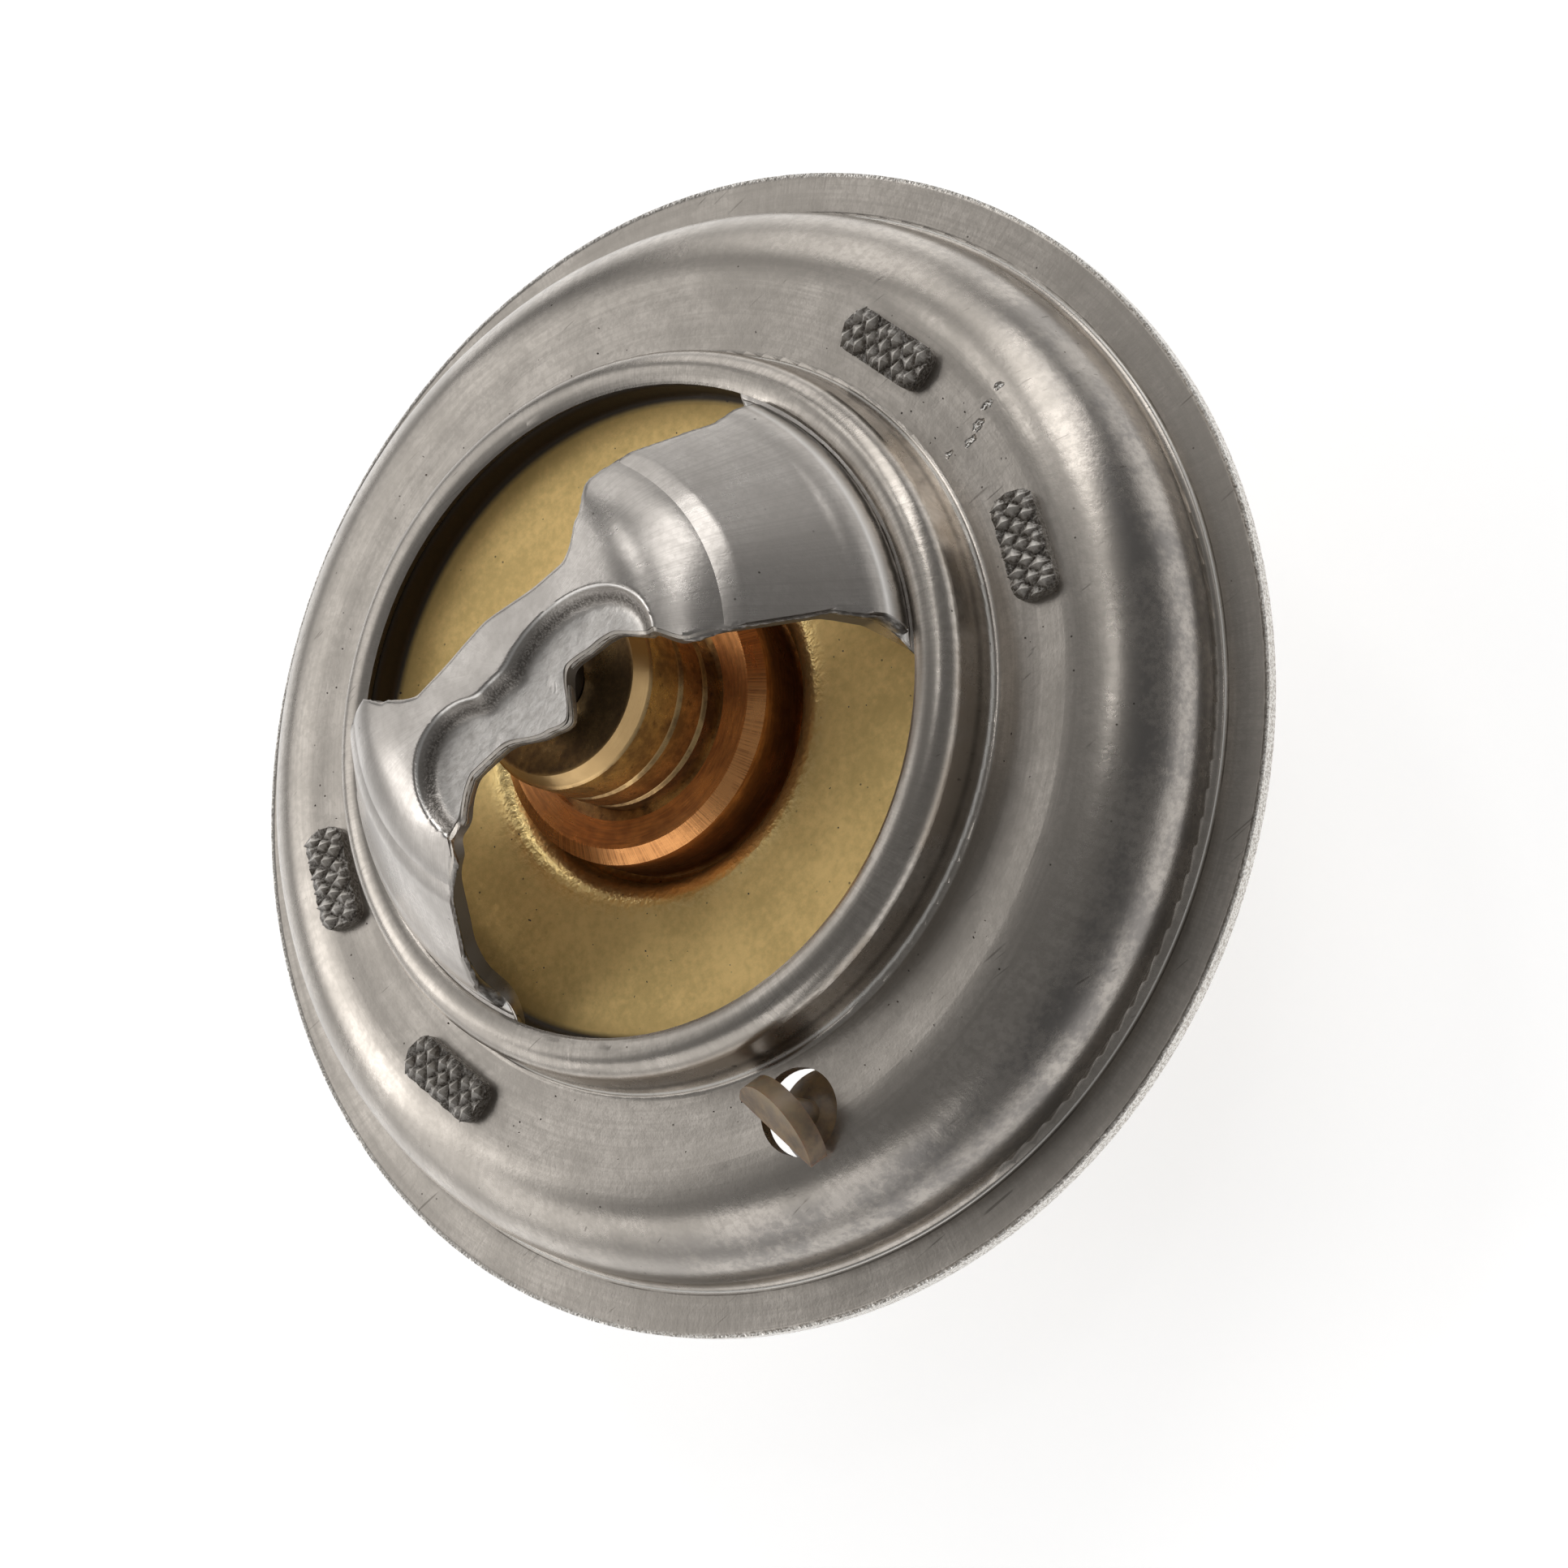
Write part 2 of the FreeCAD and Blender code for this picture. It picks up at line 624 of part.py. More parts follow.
def main():
    """Build every piece and write it."""
    os.makedirs("parts", exist_ok=True)
    pieces = {
        "housing": make_housing(),
        "cage": make_cage(),
        "valve_disc": make_valve_disc(),
        "wax_cup": make_wax_cup(),
        "guide": make_guide(),
        "backup_ring": make_backup_ring(),
        "sleeve": make_sleeve(),
        "wax": make_wax(),
        "piston": make_piston(),
        "main_spring": make_main_spring(),
        "jiggle_pin": make_jiggle_pin(),
    }
    for name, shape in pieces.items():
        shape.exportStep("parts/" + name + ".step")
        box = shape.BoundBox
        print("%-12s solids %d valid %s volume %.1f  x %.2f..%.2f y %.2f..%.2f z %.2f..%.2f" % (
            name, len(shape.Solids), shape.isValid(), shape.Volume,
            box.XMin, box.XMax, box.YMin, box.YMax, box.ZMin, box.ZMax))


main()
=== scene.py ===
"""Looks for the engine thermostat: finishes, fine relief, spring, specks, floor, light and camera."""
import logging
import math
from dataclasses import dataclass, field
from enum import Enum

import bmesh
import bpy
import numpy as np
from mathutils import Euler, Matrix, Vector


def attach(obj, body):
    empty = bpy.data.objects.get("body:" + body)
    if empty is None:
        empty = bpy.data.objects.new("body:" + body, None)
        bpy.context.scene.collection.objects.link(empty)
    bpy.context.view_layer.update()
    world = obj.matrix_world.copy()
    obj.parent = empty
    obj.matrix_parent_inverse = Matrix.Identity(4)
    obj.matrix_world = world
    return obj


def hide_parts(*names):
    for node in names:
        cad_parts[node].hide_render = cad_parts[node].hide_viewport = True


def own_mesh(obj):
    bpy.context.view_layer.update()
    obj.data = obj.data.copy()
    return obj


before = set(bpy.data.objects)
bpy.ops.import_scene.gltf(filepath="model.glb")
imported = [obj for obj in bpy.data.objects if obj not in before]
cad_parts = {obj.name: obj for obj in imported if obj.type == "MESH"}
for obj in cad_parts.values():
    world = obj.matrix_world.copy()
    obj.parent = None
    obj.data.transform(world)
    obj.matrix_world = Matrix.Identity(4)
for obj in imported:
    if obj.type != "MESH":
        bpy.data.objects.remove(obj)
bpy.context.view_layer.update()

logging.basicConfig(level=logging.INFO, format="%(message)s")
log = logging.getLogger("thermostat")

MM = 0.001
Colour = tuple[float, float, float]
Table = tuple[tuple[float, float], ...]


class Body(Enum):
    """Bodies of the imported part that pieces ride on."""

    FRAME = "frame"
    VALVE = "valve"


class Grain(Enum):
    """Ways in which a metal's fine lines run on a turned or pressed piece."""

    ROUND = "round"
    RADIAL = "radial"


class Value:
    """A number that varies over a node tree. Python's operators on it add Math nodes."""

    def __init__(self, maker: "TreeMaker", socket: bpy.types.NodeSocket) -> None:
        """Wrap a socket.

        Args:
            maker: The tree that the socket is in.
            socket: The output socket that gives the number.
        """
        self.maker = maker
        self.socket = socket

    def _math(self, operation: str, *others: "Value | float") -> "Value":
        """Add one Math node with this value first.

        Args:
            operation: The Math node's operation.
            *others: Its other inputs, in order.

        Returns:
            The node's result.
        """
        inputs = dict(enumerate((self, *others)))
        return self.maker.value("ShaderNodeMath", {"operation": operation}, inputs)

    def __add__(self, other: "Value | float") -> "Value":
        """Sum.

        Args:
            other: What is added.

        Returns:
            The sum.
        """
        return self._math("ADD", other)

    __radd__ = __add__

    def __sub__(self, other: "Value | float") -> "Value":
        """Difference.

        Args:
            other: What is taken away.

        Returns:
            The difference.
        """
        return self._math("SUBTRACT", other)

    def __rsub__(self, other: float) -> "Value":
        """Difference from a plain number.

        Args:
            other: What this value is taken from.

        Returns:
            The difference.
        """
        return self._math("MULTIPLY", -1.0)._math("ADD", other)

    def __mul__(self, other: "Value | float") -> "Value":
        """Product.

        Args:
            other: The other factor.

        Returns:
            The product.
        """
        return self._math("MULTIPLY", other)

    __rmul__ = __mul__

    def __truediv__(self, other: "Value | float") -> "Value":
        """Quotient.

        Args:
            other: The divisor.

        Returns:
            The quotient.
        """
        return self._math("DIVIDE", other)

    def __pow__(self, power: float) -> "Value":
        """Power of a value that isn't negative.

        Args:
            power: The exponent.

        Returns:
            The power.
        """
        return self._math("POWER", power)

    def absolute(self) -> "Value":
        """Size without its sign.

        Returns:
            The size.
        """
        return self._math("ABSOLUTE")

    def least(self, other: "Value | float") -> "Value":
        """The smaller of two values.

        Args:
            other: The value to compare with.

        Returns:
            The smaller one.
        """
        return self._math("MINIMUM", other)

    def most(self, other: "Value | float") -> "Value":
        """The larger of two values.

        Args:
            other: The value to compare with.

        Returns:
            The larger one.
        """
        return self._math("MAXIMUM", other)

    def rise(self, low: float, high: float) -> "Value":
        """Smooth rise from 0 at low to 1 at high. It falls instead where low is above high.

        Args:
            low: Where the rise starts.
            high: Where it ends.

        Returns:
            The share, from 0 to 1.
        """
        settings = {"interpolation_type": "SMOOTHSTEP"}
        inputs = {"Value": self, "From Min": low, "From Max": high, "To Min": 0.0, "To Max": 1.0}
        return self.maker.value("ShaderNodeMapRange", settings, inputs)

    def band(self, middle: float, half_width: float) -> "Value":
        """Soft band round one value.

        Args:
            middle: Where the band is 1.
            half_width: How far from there it falls to 0.

        Returns:
            The band's strength.
        """
        return (self - middle).absolute().rise(half_width, 0.0)


class TreeMaker:
    """Adds nodes to a shader or geometry tree."""

    def __init__(self, tree: bpy.types.NodeTree) -> None:
        """Start on an empty tree.

        Args:
            tree: The tree to fill.
        """
        self.tree = tree
        tree.nodes.clear()

    def node(self, kind: str, settings: dict | None = None, inputs: dict | None = None) -> bpy.types.Node:
        """Add any node.

        Args:
            kind: The node's type.
            settings: Its own settings, set first.
            inputs: Values or links of its sockets, by name or number.

        Returns:
            The new node.
        """
        made = self.tree.nodes.new(kind)
        for name, setting in (settings or {}).items():
            setattr(made, name, setting)
        for key, given in (inputs or {}).items():
            source = given.socket if isinstance(given, Value) else given
            if isinstance(source, bpy.types.NodeSocket):
                self.tree.links.new(source, made.inputs[key])
            else:
                made.inputs[key].default_value = source
        return made

    def value(self, kind: str, settings: dict | None = None, inputs: dict | None = None,
              output: str | int = 0) -> Value:
        """Add a node and wrap one of its outputs.

        Args:
            kind: The node's type.
            settings: Its own settings.
            inputs: Values or links of its sockets.
            output: Name or number of the output.

        Returns:
            The wrapped output.
        """
        return Value(self, self.node(kind, settings, inputs).outputs[output])


class Surface(TreeMaker):
    """A material's tree, with the places and patterns that the finishes share. Lengths are in millimetres."""

    def __init__(self, name: str) -> None:
        """Start a material.

        Args:
            name: The material's name.
        """
        self.material = bpy.data.materials.new(name)
        self.material.use_nodes = True
        super().__init__(self.material.node_tree)
        coordinates = self.node("ShaderNodeTexCoord").outputs["Object"]
        in_millimetres = {0: coordinates, "Scale": 1 / MM}
        self.place = self.value("ShaderNodeVectorMath", {"operation": "SCALE"}, in_millimetres)
        parts = self.node("ShaderNodeSeparateXYZ", None, {0: self.place})
        self.x, self.y, self.z = (Value(self, output) for output in parts.outputs)
        self.radius = (self.x * self.x + self.y * self.y) ** 0.5
        self.around_x = self.x / self.radius.most(0.01)
        self.around_y = self.y / self.radius.most(0.01)
        normal = self.node("ShaderNodeNewGeometry").outputs["Normal"]
        facing = self.node("ShaderNodeSeparateXYZ", None, {0: normal})
        self.northward = Value(self, facing.outputs["Y"])
        self.upward = Value(self, facing.outputs["Z"])

    def noise(self, size: float, detail: float = 3.0, vector: Value | None = None, roughness: float = 0.5,
              shift: float = 0.0) -> Value:
        """Even noise from 0 to 1.

        Args:
            size: Size of its blotches in millimetres, or in the vector's units.
            detail: Number of finer layers.
            vector: Where it is read. The place on the piece if not given.
            roughness: Strength of the finer layers.
            shift: Moves the pattern, so that two of one size differ.

        Returns:
            The noise.
        """
        where = vector or self.place
        if shift:
            moved = {0: where, 1: (shift, shift, shift)}
            where = self.value("ShaderNodeVectorMath", {"operation": "ADD"}, moved)
        inputs = {"Vector": where, "Scale": 1.0 / size, "Detail": detail, "Roughness": roughness}
        return self.value("ShaderNodeTexNoise", None, inputs)

    def spots(self, size: float, reach: float) -> Value:
        """Scattered round spots.

        Args:
            size: Mean distance between spots.
            reach: Share of that distance that a spot covers.

        Returns:
            1 in a spot's middle, 0 between spots.
        """
        inputs = {"Vector": self.place, "Scale": 1.0 / size, "Randomness": 1.0}
        distance = self.value("ShaderNodeTexVoronoi", None, inputs, "Distance")
        return distance.rise(reach, reach * 0.35)

    def combine(self, x: Value | float, y: Value | float, z: Value | float) -> Value:
        """A vector of three values.

        Args:
            x: Its first value.
            y: Its second value.
            z: Its third value.

        Returns:
            The vector.
        """
        return self.value("ShaderNodeCombineXYZ", None, {0: x, 1: y, 2: z})

    def lines(self, grain: Grain, pitch: float, length: float, shift: float = 0.0) -> Value:
        """Fine lines of a brushed, ground or turned metal.

        Args:
            grain: Which way they run.
            pitch: Distance between lines.
            length: Mean length of a line.
            shift: Moves the pattern.

        Returns:
            Noise drawn out along the lines.
        """
        typical_radius = 18.0
        if grain is Grain.ROUND:
            turn = typical_radius / length
            slope = self.z * (0.7 / pitch)
            vector = self.combine(self.radius / pitch + slope, self.around_x * turn, self.around_y * turn)
        else:
            turn = typical_radius / pitch
            outward = self.radius / length + self.z / length
            vector = self.combine(outward, self.around_x * turn, self.around_y * turn)
        return self.noise(1.0, 2.0, vector, 0.6, shift)

    def mix(self, share: Value | float, first: "Value | Colour", second: "Value | Colour") -> Value:
        """Blend two colours.

        Args:
            share: How much of the second shows.
            first: The first colour.
            second: The second colour.

        Returns:
            The blend.
        """
        settings = {"data_type": "RGBA", "clamp_factor": True}
        inputs = {0: share}
        for key, colour in ((6, first), (7, second)):
            inputs[key] = (*colour, 1.0) if isinstance(colour, tuple) else colour
        return self.value("ShaderNodeMix", settings, inputs, 2)

    def relief(self, *layers: tuple[Value, float]) -> Value:
        """Bump from several height patterns.

        Args:
            *layers: Each a pattern from 0 to 1 and its height in millimetres.

        Returns:
            The normal for the shader.
        """
        height = None
        for pattern, tallness in layers:
            layer = pattern * tallness
            height = layer if height is None else height + layer
        inputs = {"Height": height, "Distance": MM, "Strength": 1.0}
        return self.value("ShaderNodeBump", None, inputs, "Normal")

    def finish(self, colour: "Value | Colour", roughness: Value | float, normal: Value | None = None,
               metallic: Value | float = 1.0, **constants: float) -> bpy.types.Material:
        """End the tree in a shader.

        Args:
            colour: Base colour.
            roughness: Roughness.
            normal: Bumped normal, if any.
            metallic: 1 for bare metal, 0 for the rest.
            **constants: Other sockets, by name with _ for each space.

        Returns:
            The finished material.
        """
        inputs = {"Roughness": roughness, "Metallic": metallic}
        inputs["Base Color"] = (*colour, 1.0) if isinstance(colour, tuple) else colour
        if normal is not None:
            inputs["Normal"] = normal
        for name, constant in constants.items():
            inputs[name.replace("_", " ")] = constant
        shader = self.node("ShaderNodeBsdfPrincipled", None, inputs)
        self.node("ShaderNodeOutputMaterial", None, {"Surface": shader.outputs["BSDF"]})
        return self.material


@dataclass(frozen=True)
class StampedSteel:
    """Bare stamped stainless steel: brushed round on the flats, across on the collar, drawn on the dome."""

    name: str = "stamped_steel_bare"
    bright: Colour = (0.60, 0.55, 0.495)
    dull: Colour = (0.40, 0.365, 0.325)
    tarnish_and_shade: Colour = (0.24, 0.225, 0.215)
    burr_and_highlight: Colour = (0.90, 0.87, 0.82)
    sheared: Colour = (0.24, 0.22, 0.20)
    dirt: Colour = (0.06, 0.05, 0.04)
    tan: Colour = (0.42, 0.34, 0.26)
    flange_rim: float = 27.0
    dome_foot: float = 24.85
    collar_foot: float = 16.62
    collar_crest: float = 9.6
    opening: float = 14.75
    dents: tuple[tuple[float, float, float], ...] = (
        (21.3, 2.6, 0.28), (20.35, 1.6, 0.28), (19.5, 0.4, 0.4), (18.85, -0.6, 0.34), (17.75, 0.2, 0.3))

    def build(self) -> bpy.types.Material:
        """Build the material.

        Returns:
            The material.
        """
        s = Surface(self.name)
        flat = s.upward.absolute().rise(0.9, 0.985)
        crest = s.z.rise(self.collar_crest - 1.2, self.collar_crest - 0.2)
        crest = crest * s.radius.rise(self.opening - 0.4, self.opening)
        edge = s.upward.absolute().rise(0.35, 0.12) * s.z.rise(8.3, 8.5) * s.radius.rise(15.2, 14.9)
        round_lines = s.lines(Grain.ROUND, 0.06, 4.0)
        wide_lines = s.lines(Grain.ROUND, 0.4, 9.0, 3.0)
        fine_lines = s.lines(Grain.ROUND, 0.16, 5.0, 8.0)
        radial_lines = s.lines(Grain.RADIAL, 0.10, 3.0, 7.0)
        drawn_lines = s.lines(Grain.RADIAL, 0.30, 9.0, 11.0)
        blotches = s.noise(3.2, 3.0, None, 0.62)
        clouds = s.noise(9.0, 1.0, None, 0.5, 5.0)
        grains = s.noise(0.11, 1.0, None, 0.65, 2.0)
        satin = s.noise(0.34, 2.0, None, 0.7, 6.0)
        pits = s.spots(1.0, 0.07) * s.noise(2.4, 1.0, None, 0.5, 4.0).rise(0.5, 0.6)
        swells = self.swells(s)
        scuffs = self.scuffs(s)
        marks = self.ridges(s)
        rim = s.radius.rise(self.flange_rim - 0.25, self.flange_rim - 0.05) * s.z.rise(1.2, 0.9)
        flange = s.radius.rise(self.dome_foot + 0.1, self.dome_foot + 0.3) * s.z.rise(1.2, 0.9)
        rolled = s.radius.band(self.dome_foot + 0.5, 1.0) * flange
        gouges = self.gouges(s)
        # The pocket under the bridge's tongue is darkened as painted shade.
        shaded_pocket = s.radius.rise(2.4, 2.1) * s.z.rise(17.3, 17.0)
        foot = s.radius.band(16.35, 0.55) * s.z.rise(9.0, 8.2)
        wear = (blotches * 0.6 + clouds * 0.4).rise(0.36, 0.64)
        colour = s.mix(wear * 0.75, self.bright, self.dull)
        colour = s.mix(satin.rise(0.42, 0.62) * 0.45, colour, self.dull)
        colour = s.mix(flat * fine_lines.rise(0.42, 0.64) * 0.40, colour, self.dull)
        colour = s.mix((1 - flat) * drawn_lines.rise(0.45, 0.70) * 0.35, colour, self.dull)
        colour = s.mix(flat * (wide_lines.rise(0.38, 0.7) * 0.35), colour, self.dull)
        colour = s.mix(crest * radial_lines.rise(0.42, 0.7) * 0.5, colour, self.dull)
        colour = s.mix(flange * radial_lines.rise(0.40, 0.66) * 0.35, colour, self.dull)
        colour = s.mix(gouges * grains.rise(0.4, 0.6), colour, self.burr_and_highlight)
        # One side of the dome's outer slope is darkened broadly as painted shade, and more in patches of
        # tarnish.
        slope = s.radius.rise(22.4, 23.4) * s.z.rise(0.8, 1.4)
        side = (s.around_x * 0.55 - s.around_y * 0.83).rise(0.0, 0.7)
        patches = (satin * 0.3 + blotches * 0.7).rise(0.42, 0.60)
        colour = s.mix(slope * side * (0.35 + patches * 0.45), colour, self.tarnish_and_shade)
        colour = s.mix(edge, colour, self.sheared)
        colour = s.mix(foot * blotches.rise(0.35, 0.6) * 0.6, colour, self.tan)
        # The ridges are painted near-white with little metal as painted highlights; the flange rim gets a
        # grainy burr.
        colour = s.mix((marks + rim * grains.rise(0.35, 0.6)).least(1.0), colour, self.burr_and_highlight)
        # Pits, scuffs and dents darken as dirt; the pocket and the lines beside the ridges add painted shade
        # to the same dark mix.
        stains = pits + scuffs * 0.5 + shaded_pocket + self.ridge_shade_lines(s) + gouges * grains.rise(0.52, 0.42) * 0.8
        colour = s.mix(stains.least(1.0) * 0.9, colour, self.dirt)
        roughness = 0.22 + flat * 0.05 + wear * 0.05 + edge * 0.2 + satin * 0.06
        normal = s.relief((round_lines * flat, 0.0010), (radial_lines * (crest + flange), 0.0018),
                          ((1 - flat) * drawn_lines, 0.0020), (grains, 0.0026), (satin, 0.0050),
                          (blotches, 0.016), (swells, 0.075), (rim * satin, 0.09), (marks, 0.03),
                          (rolled, 0.03), (gouges * (0.4 + grains), -0.09))
        return s.finish(colour, roughness, normal, 1.0 - (marks * 0.75 + rim * 0.4).least(0.8))

    def gouges(self, s: Surface) -> Value:
        """A trail of small sharp dents across the ring.

        Args:
            s: The material's tree.

        Returns:
            1 in a dent, 0 elsewhere.
        """
        ragged = (s.noise(0.35, 1.0, None, 0.6, 13.0) - 0.5) * 0.5
        dents = None
        for radius, bearing, size in self.dents:
            turn = math.radians(bearing)
            across_x = s.x - radius * math.cos(turn)
            across_y = (s.y - radius * math.sin(turn)) * 1.7
            away = (across_x * across_x + across_y * across_y) ** 0.5 + ragged
            dent = away.rise(size, size * 0.5)
            dents = dent if dents is None else dents.most(dent)
        return dents * s.z.rise(5.7, 5.9)

    @staticmethod
    def swells(s: Surface) -> Value:
        """Faint rings left by spinning and pressing, which bend the reflections on the flats and the dome.

        Args:
            s: The material's tree.

        Returns:
            Their height, from 0 to 1.
        """
        place = s.combine(s.radius * 0.55 + s.z * 0.35, s.around_x * 0.25, s.around_y * 0.25)
        return s.noise(1.0, 1.0, place, 0.45, 14.0)

    def ridges(self, s: Surface) -> Value:
        """Crisp ridges where the collar and the dome stand up from their flats, painted near-white as
        highlights; they also get a small bump.

        Args:
            s: The material's tree.

        Returns:
            1 on a ridge, 0 elsewhere.
        """
        collar = s.radius.band(self.collar_foot + 0.14, 0.09) * s.z.rise(7.2, 6.7)
        dome = s.radius.band(self.dome_foot + 0.10, 0.07) * s.z.rise(1.4, 1.1)
        return (collar + dome).least(1.0)

    def ridge_shade_lines(self, s: Surface) -> Value:
        """Thin dark lines of painted shade beside the ridges, patchy at the dome's foot.

        Args:
            s: The material's tree.

        Returns:
            1 in the shade, 0 elsewhere.
        """
        patchy = s.noise(2.5, 2.0, None, 0.5, 9.0).rise(0.3, 0.55)
        collar = s.radius.band(self.collar_foot - 0.05, 0.09) * s.z.rise(7.4, 6.9)
        dome = s.radius.band(self.dome_foot + 0.24, 0.05) * s.z.rise(1.4, 1.1)
        return (collar * 0.85 + dome * patchy * 0.7).least(1.0)

    @staticmethod
    def scuffs(s: Surface) -> Value:
        """Short stray scratches.

        Args:
            s: The material's tree.

        Returns:
            1 on a scratch, 0 elsewhere.
        """
        bend = s.noise(3.0, 1.0, None, 0.5, 8.0)
        across = s.combine(s.x * 0.35 + bend * 2.0, s.y * 6.0, s.z * 2.0)
        streak = s.noise(1.0, 1.0, across, 0.5, 6.0).rise(0.68, 0.76)
        return streak * s.noise(2.5, 1.0, None, 0.5, 9.0).rise(0.53, 0.66)


@dataclass(frozen=True)
class BridgeSteel:
    """Steel of the pressed bridge: soft sheen on the skins, torn and dark on the sheared rims, with painted
    shade on the trough's walls and a painted highlight along their top.

    Each leg's foot has a crease darkened as painted shade, a flank painted white as a highlight and a
    burnished band of chips, at the radii given here.
    """

    name: str = "bridge_steel"
    bright: Colour = (0.59, 0.55, 0.51)
    dull: Colour = (0.37, 0.34, 0.31)
    burnished: Colour = (0.93, 0.90, 0.86)
    sheared: Colour = (0.15, 0.135, 0.12)
    dirt: Colour = (0.07, 0.06, 0.05)
    crease: float = 14.43
    flank: float = 14.18
    chips: float = 13.93

    def build(self) -> bpy.types.Material:
        """Build the material.

        Returns:
            The material.
        """
        s = Surface(self.name)
        rim = s.value("ShaderNodeAttribute", {"attribute_name": "rim"}, None, "Fac")
        trough = s.value("ShaderNodeAttribute", {"attribute_name": "trough"}, None, "Fac")
        shaded_wall = trough.band(0.42, 0.42)
        floor = trough.rise(0.6, 0.95)
        blotches = s.noise(2.4, 3.0, None, 0.62)
        clouds = s.noise(6.0, 2.0, None, 0.5, 3.0)
        radial_lines = s.lines(Grain.RADIAL, 0.13, 4.0, 2.0)
        grains = s.noise(0.11, 1.0, None, 0.65, 5.0)
        satin = s.noise(0.32, 2.0, None, 0.7, 6.0)
        fibres = s.noise(1.0, 4.0, s.combine(s.x * 2.2, s.y * 4.5, s.z), 0.7, 8.0)
        tears = s.noise(1.0, 3.0, s.combine(s.x * 5.0, s.y * 5.0, s.z * 0.8), 0.6, 1.0)
        pits = s.spots(1.1, 0.07) * s.noise(2.6, 1.0, None, 0.5, 4.0).rise(0.5, 0.6)
        stray = (blotches - 0.5) * 0.12
        foot = s.z.rise(10.6, 10.2)
        crease = (s.radius + stray).band(self.crease, 0.07) * foot
        flank = (s.radius + stray * 0.4).band(self.flank, 0.20) * foot
        band = (s.radius + stray).band(self.chips, 0.22) * foot
        chips = (s.radius + stray).band(self.chips - 0.12, 0.10) * foot * fibres.rise(0.46, 0.58)
        wear = (blotches * 0.55 + clouds * 0.45).rise(0.36, 0.64)
        colour = s.mix(wear * 0.75, self.bright, self.dull)
        colour = s.mix(radial_lines.rise(0.42, 0.66) * 0.42, colour, self.dull)
        colour = s.mix(satin.rise(0.44, 0.62) * 0.35, colour, self.dull)
        # Painted shade on the trough's walls.
        colour = s.mix(shaded_wall * (0.55 + 0.45 * grains.rise(0.35, 0.6)), colour, self.sheared)
        colour = s.mix(floor * (0.25 + fibres.rise(0.35, 0.65) * 0.3), colour, self.burnished)
        # A painted highlight along the top of the trough's walls.
        colour = s.mix(trough.band(0.05, 0.06) * 0.9, colour, self.burnished)
        # The white flank at each leg's foot is a painted highlight; the band of chips beside it is burnished.
        colour = s.mix((flank + band * 0.5).least(1.0), colour, self.burnished)
        rolled = s.x.absolute().rise(7.2, 5.6)
        colour = s.mix(rim * (1 - rolled * 0.85) * (0.45 + tears.rise(0.3, 0.6) * 0.55), colour, self.sheared)
        # Pits and chips are dirt; the crease at each leg's foot is painted shade.
        colour = s.mix((pits + crease + chips).least(1.0) * 0.9, colour, self.dirt)
        roughness = 0.24 + wear * 0.05 + rim * 0.12 + floor * 0.16 + shaded_wall * 0.2 + satin * 0.06
        normal = s.relief((radial_lines, 0.0016), (grains, 0.0022), (satin, 0.0045), (fibres * floor, 0.035),
                          (grains * shaded_wall, 0.03), (blotches, 0.014), (tears * rim, 0.03),
                          (crease + chips, -0.02), (flank, 0.02))
        return s.finish(colour, roughness, normal, 1.0 - (flank * 0.8 + band * 0.3 + floor * 0.25).least(0.8))


@dataclass(frozen=True)
class TabSteel:
    """Rougher steel of the cage. Its staked tab heads are painted near-white with little metal as a painted
    highlight, with painted shade on the facets that face away from the light and dirt with painted shade in
    their valleys.
    """

    name: str = "cage_steel_rough"
    bright: Colour = (1.0, 0.95, 0.88)
    dull: Colour = (0.46, 0.41, 0.36)
    grime_and_shade: Colour = (0.07, 0.055, 0.04)
    ring_height: float = 6.05
    peak: float = 6.95

    def build(self) -> bpy.types.Material:
        """Build the material.

        Returns:
            The material.
        """
        s = Surface(self.name)
        head = s.z.rise(self.ring_height - 0.05, self.ring_height + 0.05)
        valley_grime_and_shade = s.z.rise(self.peak - 0.08, self.peak - 0.30) * head
        grains = s.noise(0.13, 4.0, None, 0.7)
        blotches = s.noise(1.6, 4.0, None, 0.6, 4.0)
        drawn = s.noise(1.0, 4.0, s.combine(s.x / 0.2, s.y / 0.2, s.z / 6.0), 0.6, 2.0)
        wear = blotches.rise(0.38, 0.62)
        # Facets that face away from the light, which get painted shade.
        shaded_facets = s.northward.rise(0.15, -0.35) * head
        # The heads are painted near-white with little metal, a painted highlight that stands in for their
        # glints.
        colour = s.mix((1 - head * 0.85) * (0.45 + wear * 0.55), self.bright, self.dull)
        colour = s.mix(head * grains.rise(0.5, 0.66) * 0.4, colour, self.dull)
        # Painted shade on the facets that face away from the light, then dirt with painted shade in the
        # valleys.
        colour = s.mix(shaded_facets * 0.55, colour, self.grime_and_shade)
        colour = s.mix(valley_grime_and_shade * (0.45 + 0.55 * grains.rise(0.35, 0.6)), colour, self.grime_and_shade)
        roughness = 0.30 - head * 0.10 + wear * 0.08 + grains * 0.10
        normal = s.relief((grains * head, 0.022), (grains, 0.002), (drawn, 0.003), (blotches, 0.01))
        return s.finish(colour, roughness, normal, 1.0 - head * 0.92)


